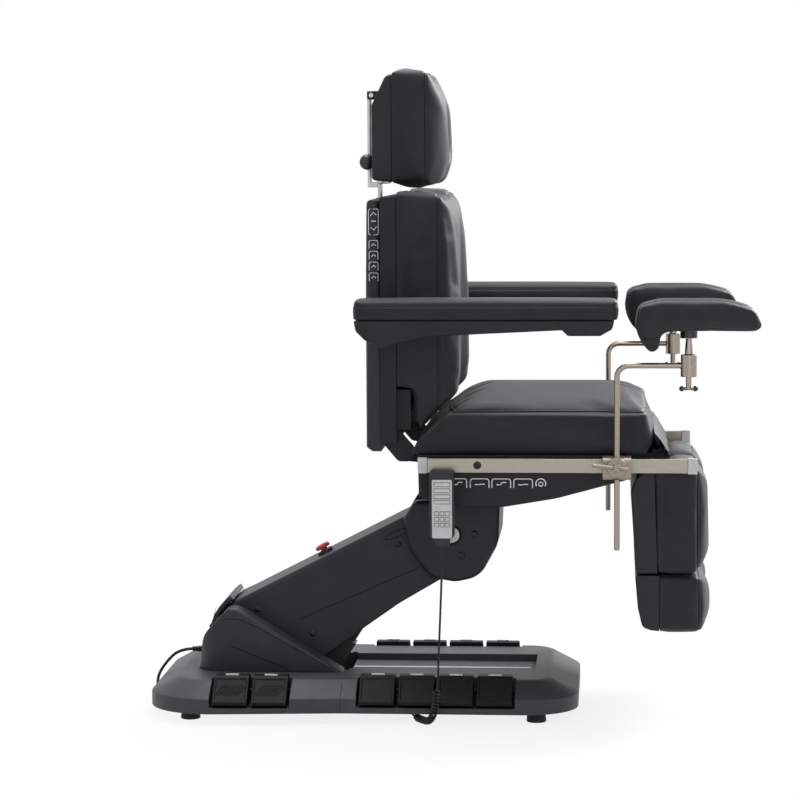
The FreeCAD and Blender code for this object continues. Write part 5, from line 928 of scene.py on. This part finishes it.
# Leg rests: two padded calf rests on one hinged steel frame, each with a moulded rear shell and a foot
# block that slides out on a square bar.
knee = Vector((0.4544, 0.0, 0.574))
leg_abs = moulded("charcoal_abs_leg", "#29282d", 0.44, 1.5, 0.2)
dress("leg_frame", steel_paint)
leg_sides = (0.018, 0.280)
bm = solid("leg_shells")
eased(bm, 0.006, 4, lambda p: on_side(p, leg_sides) and p.x < knee.x - 0.02)
eased(bm, 0.0015, 2)
finished("leg_rear_shells", bm, "legs", [leg_abs], ["leg_shells"])
leg_pad = stuffed("leg_pads", "leg_cushions", "legs", lambda p: p.x < knee.x - 0.0045, slack=0.004,
                  reach=0.0075, cell=0.0055)
seam(leg_pad, (knee.x + 0.078, 0, 0), (1, 0, 0), "legs", "leg_welt", welt=0.0014, stitch_off=0.006)
for side in ("near", "far"):
    body = "foot_" + side
    bm = solid("foot_shell_" + side)
    eased(bm, 0.006, 4, lambda p: on_side(p, leg_sides) and p.x < knee.x - 0.01 and p.z < 0.324)
    eased(bm, 0.0012, 2)
    finished("foot_rear_shell_" + side, bm, body, [leg_abs], ["foot_shell_" + side])
    pad = stuffed("foot_pad_" + side, "foot_cushion_" + side, body, lambda p: p.x < knee.x - 0.0005,
                  slack=0.0035, reach=0.006, cell=0.0055)
    seam(pad, (knee.x + 0.081, 0, 0), (1, 0, 0), body, "foot_welt_" + side, welt=0.0014, stitch_off=0.006)


# Stirrups: a nickelled clamp on each rail, tightened by a T-bar, holds a bent rod. A turning spindle
# in the rod's socket carries a moulded foam knee rest with piped edges.
# Satin nickel is a warm grey with soft, short streaks.
satin_nickel = brushed("satin_nickel_clamp", "#94897f", 0.36, (1.0, 1.0, 0.2))
rod_nickel = brushed("satin_nickel_rod", "#a0968c", 0.24, (0.4, 0.4, 0.4))
clamp_low, clamp_high = 0.540, 0.586
clamp_jaw = 0.34
lever_top = 0.745
cap_under = 0.8435
welt_out = 0.060
for side in ("near", "far"):
    node = "clamp_" + side
    bm = solid(node)
    eased(bm, 0.0045, 1, lambda p: abs(p.y) > clamp_jaw
          and min(abs(p.z - clamp_high), abs(p.z - clamp_low)) < 1e-4)
    eased(bm, 0.0008, 2)
    finished("rail_clamp_" + side, bm, node, [satin_nickel], [node])
    node = "clamp_handle_" + side
    bm = eased(solid(node), 0.0014, 3)
    finished("clamp_tbar_" + side, bm, node, [satin_nickel], [node])
    node = "stirrup_rod_" + side
    bm = eased(solid(node), 0.0012, 2)
    finished("stirrup_stem_" + side, bm, node, [rod_nickel], [node])
    node = "spindle_" + side
    body = "stirrup_" + side
    bm = eased(solid(node), 0.0012, 2)
    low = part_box(node)[0]
    for face in bm.faces:
        p = face.calc_center_median()
        lever = p.z < lever_top and abs(p.x - low.x - 0.02) > 0.011
        face.material_index = 1 if p.z > cap_under or lever else 0
    finished("stirrup_spindle_" + side, bm, body, [rod_nickel, knob_black], [node])
    low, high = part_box("stirrup_pad_" + side)
    middle = (low.y + high.y) / 2
    pad = stuffed("knee_rest_" + side, "stirrup_pad_" + side, body, lambda p: False, slack=0.0015,
                  reach=0.003, cell=0.005)
    for k, s in enumerate((-1, 1)):
        seam(pad, (0, middle + s * welt_out, 0), (0, 1, 0), body, "knee_welt_%s_%d" % (side, k),
             welt=0.0014, stitch_off=s * -0.006)


# Handset: a slim black ABS box that hangs on the near rail by a spring clip, with a silver membrane
# of raised keys. Its curly lead drops to the floor and runs in under the base.
hand_abs = moulded("black_abs_handset", "#1a191c", 0.42, 1.0, 0.4)
# Silver printed polyester: a flat metallic grey with fine flecks, drawn at 0.8 mm so that they show.
silver, tree = blank("silver_membrane")
place = add(tree, "TexCoord", {}, {}).outputs["Object"]
fleck = add(tree, "TexNoise", {"Scale": 1000 / 0.8, "Detail": 2.0}, {"Vector": place})
tint = tinted(tree, fleck, linear("#b4b5b7"), linear("#cfd0d2"))
shaded(tree, {"Metallic": 0.3, "Roughness": 0.42, "Specular IOR Level": 0.4}, {"Base Color": tint})
face_x, face_y = -0.0106, -0.336
panel_z = 0.4752
panel_wide, panel_high = 0.0424, 0.125
bm = solid("handset")
eased(bm, 0.0028, 3, lambda p: abs(p.y - face_y) < 0.0004)
eased(bm, 0.001, 2)
finished("handset_case", bm, "seat", [hand_abs], ["handset"])
bm = bmesh.new()
block(bm, (face_x, face_y, panel_z), (panel_wide, 0.0010, panel_high))
eased(bm, 0.003, 3, lambda p: abs(abs(p.x - face_x) - panel_wide / 2) < 1e-5
      and abs(abs(p.z - panel_z) - panel_high / 2) < 1e-5)
finished("handset_membrane", bm, "seat", [silver])
bm = bmesh.new()
key_rows = [(0.5274, 1), (0.5146, 1), (0.5020, 1), (0.4904, 1), (0.4656, 3), (0.4534, 3), (0.4411, 3)]
row_wide = 0.034
key_gap = 0.002
key_high = 0.0088
for z, count in key_rows:
    wide = row_wide / count - key_gap * (count > 1)
    for i in range(count):
        x = face_x + (i - (count - 1) / 2) * (wide + key_gap)
        corners = block(bm, (x, -0.3369, z), (wide, 0.0012, key_high))["verts"]
        front = [f for f in bm.faces if f.normal.y < -0.9 and all(v in corners for v in f.verts)]
        bmesh.ops.inset_individual(bm, faces=front, thickness=0.0013, depth=0.0)
        for face in bm.faces:
            if any(v in corners for v in face.verts):
                face.material_index = 0 if face in front else 1
finished("handset_keys", bm, "seat", [cap_grey, hand_abs])
bm = bmesh.new()
lathe(bm, (face_x, -0.3245, 0.3945), (0, 0, 1),
      [(0.0, 0.0), (0.0, 0.0034), (0.004, 0.0040), (0.0042, 0.0032), (0.006, 0.0034), (0.0062, 0.0044),
       (0.010, 0.0052), (0.010, 0.0)], 20)
finished("handset_strain_relief", bm, "seat", [rubber_black])

route = [(-0.0106, -0.3245, 0.394), (-0.0106, -0.3245, 0.3894), (-0.0135, -0.325, 0.300),
         (-0.0185, -0.326, 0.180), (-0.0216, -0.3265, 0.097), (-0.03239, -0.31086, 0.009),
         (-0.07157, -0.25406, 0.009), (-0.084, -0.232, 0.013), (-0.0935, -0.205, 0.0245),
         (-0.0935, -0.180, 0.026)]
curl_top = 0.097
curl_radius = 0.0062
curl_pitch = 0.0072
curl_count = 20
curl_run = 0.144
guide = spline_curve("handset_route", route)
bpy.context.view_layer.update()
guide_mesh = bpy.data.meshes.new_from_object(guide)
lay = [v.co.copy() for v in guide_mesh.vertices]
bpy.data.objects.remove(guide)
first = next(i for i, p in enumerate(lay) if p.z < curl_top)
inward = Vector((-0.06, 0.087, 0)).normalized()
side_on = Vector((0, 0, 1)).cross(inward)
curl_points = []
walk = 0.0
step = curl_pitch / points_per_turn
target = 0.0
for a, b in zip(lay[first:], lay[first + 1:]):
    span = (b - a).length
    while target <= walk + span and target <= curl_run:
        p = a.lerp(b, (target - walk) / span)
        ahead = (b - a).normalized()
        count = target / curl_pitch
        grow = min(1.0, count, max(0.0, curl_count - count))
        spread = curl_radius * cut_corner * (1 - math.cos(math.pi * grow)) / 2
        up = ahead.cross(side_on).normalized()
        turned = 2 * math.pi * count
        curl_points.append(p + up * (spread * math.cos(turned)) + side_on * (spread * math.sin(turned)))
        target += step
    walk += span
curl_points = [Vector(p) for p in route[:5]] + curl_points[1:] + [Vector(p) for p in route[7:]]
curl = spline_curve("handset_curl", curl_points)
curl.data.resolution_u = 3
bpy.context.view_layer.update()
line_mesh = bpy.data.meshes.new_from_object(curl)
curl.data.bevel_depth = 0.0023
curl.data.bevel_resolution = 2
curl.data.use_fill_caps = True
bpy.context.view_layer.update()
cord_mesh = bpy.data.meshes.new_from_object(curl)
bpy.data.objects.remove(curl)
cord_mesh.materials.clear()
cord_mesh.materials.append(flex_black)
cord_mesh.shade_smooth()
hand_cord = bpy.data.objects.new("handset_curly_lead", cord_mesh)
scene.collection.objects.link(hand_cord)
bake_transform(hand_cord)
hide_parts("handset_cord")
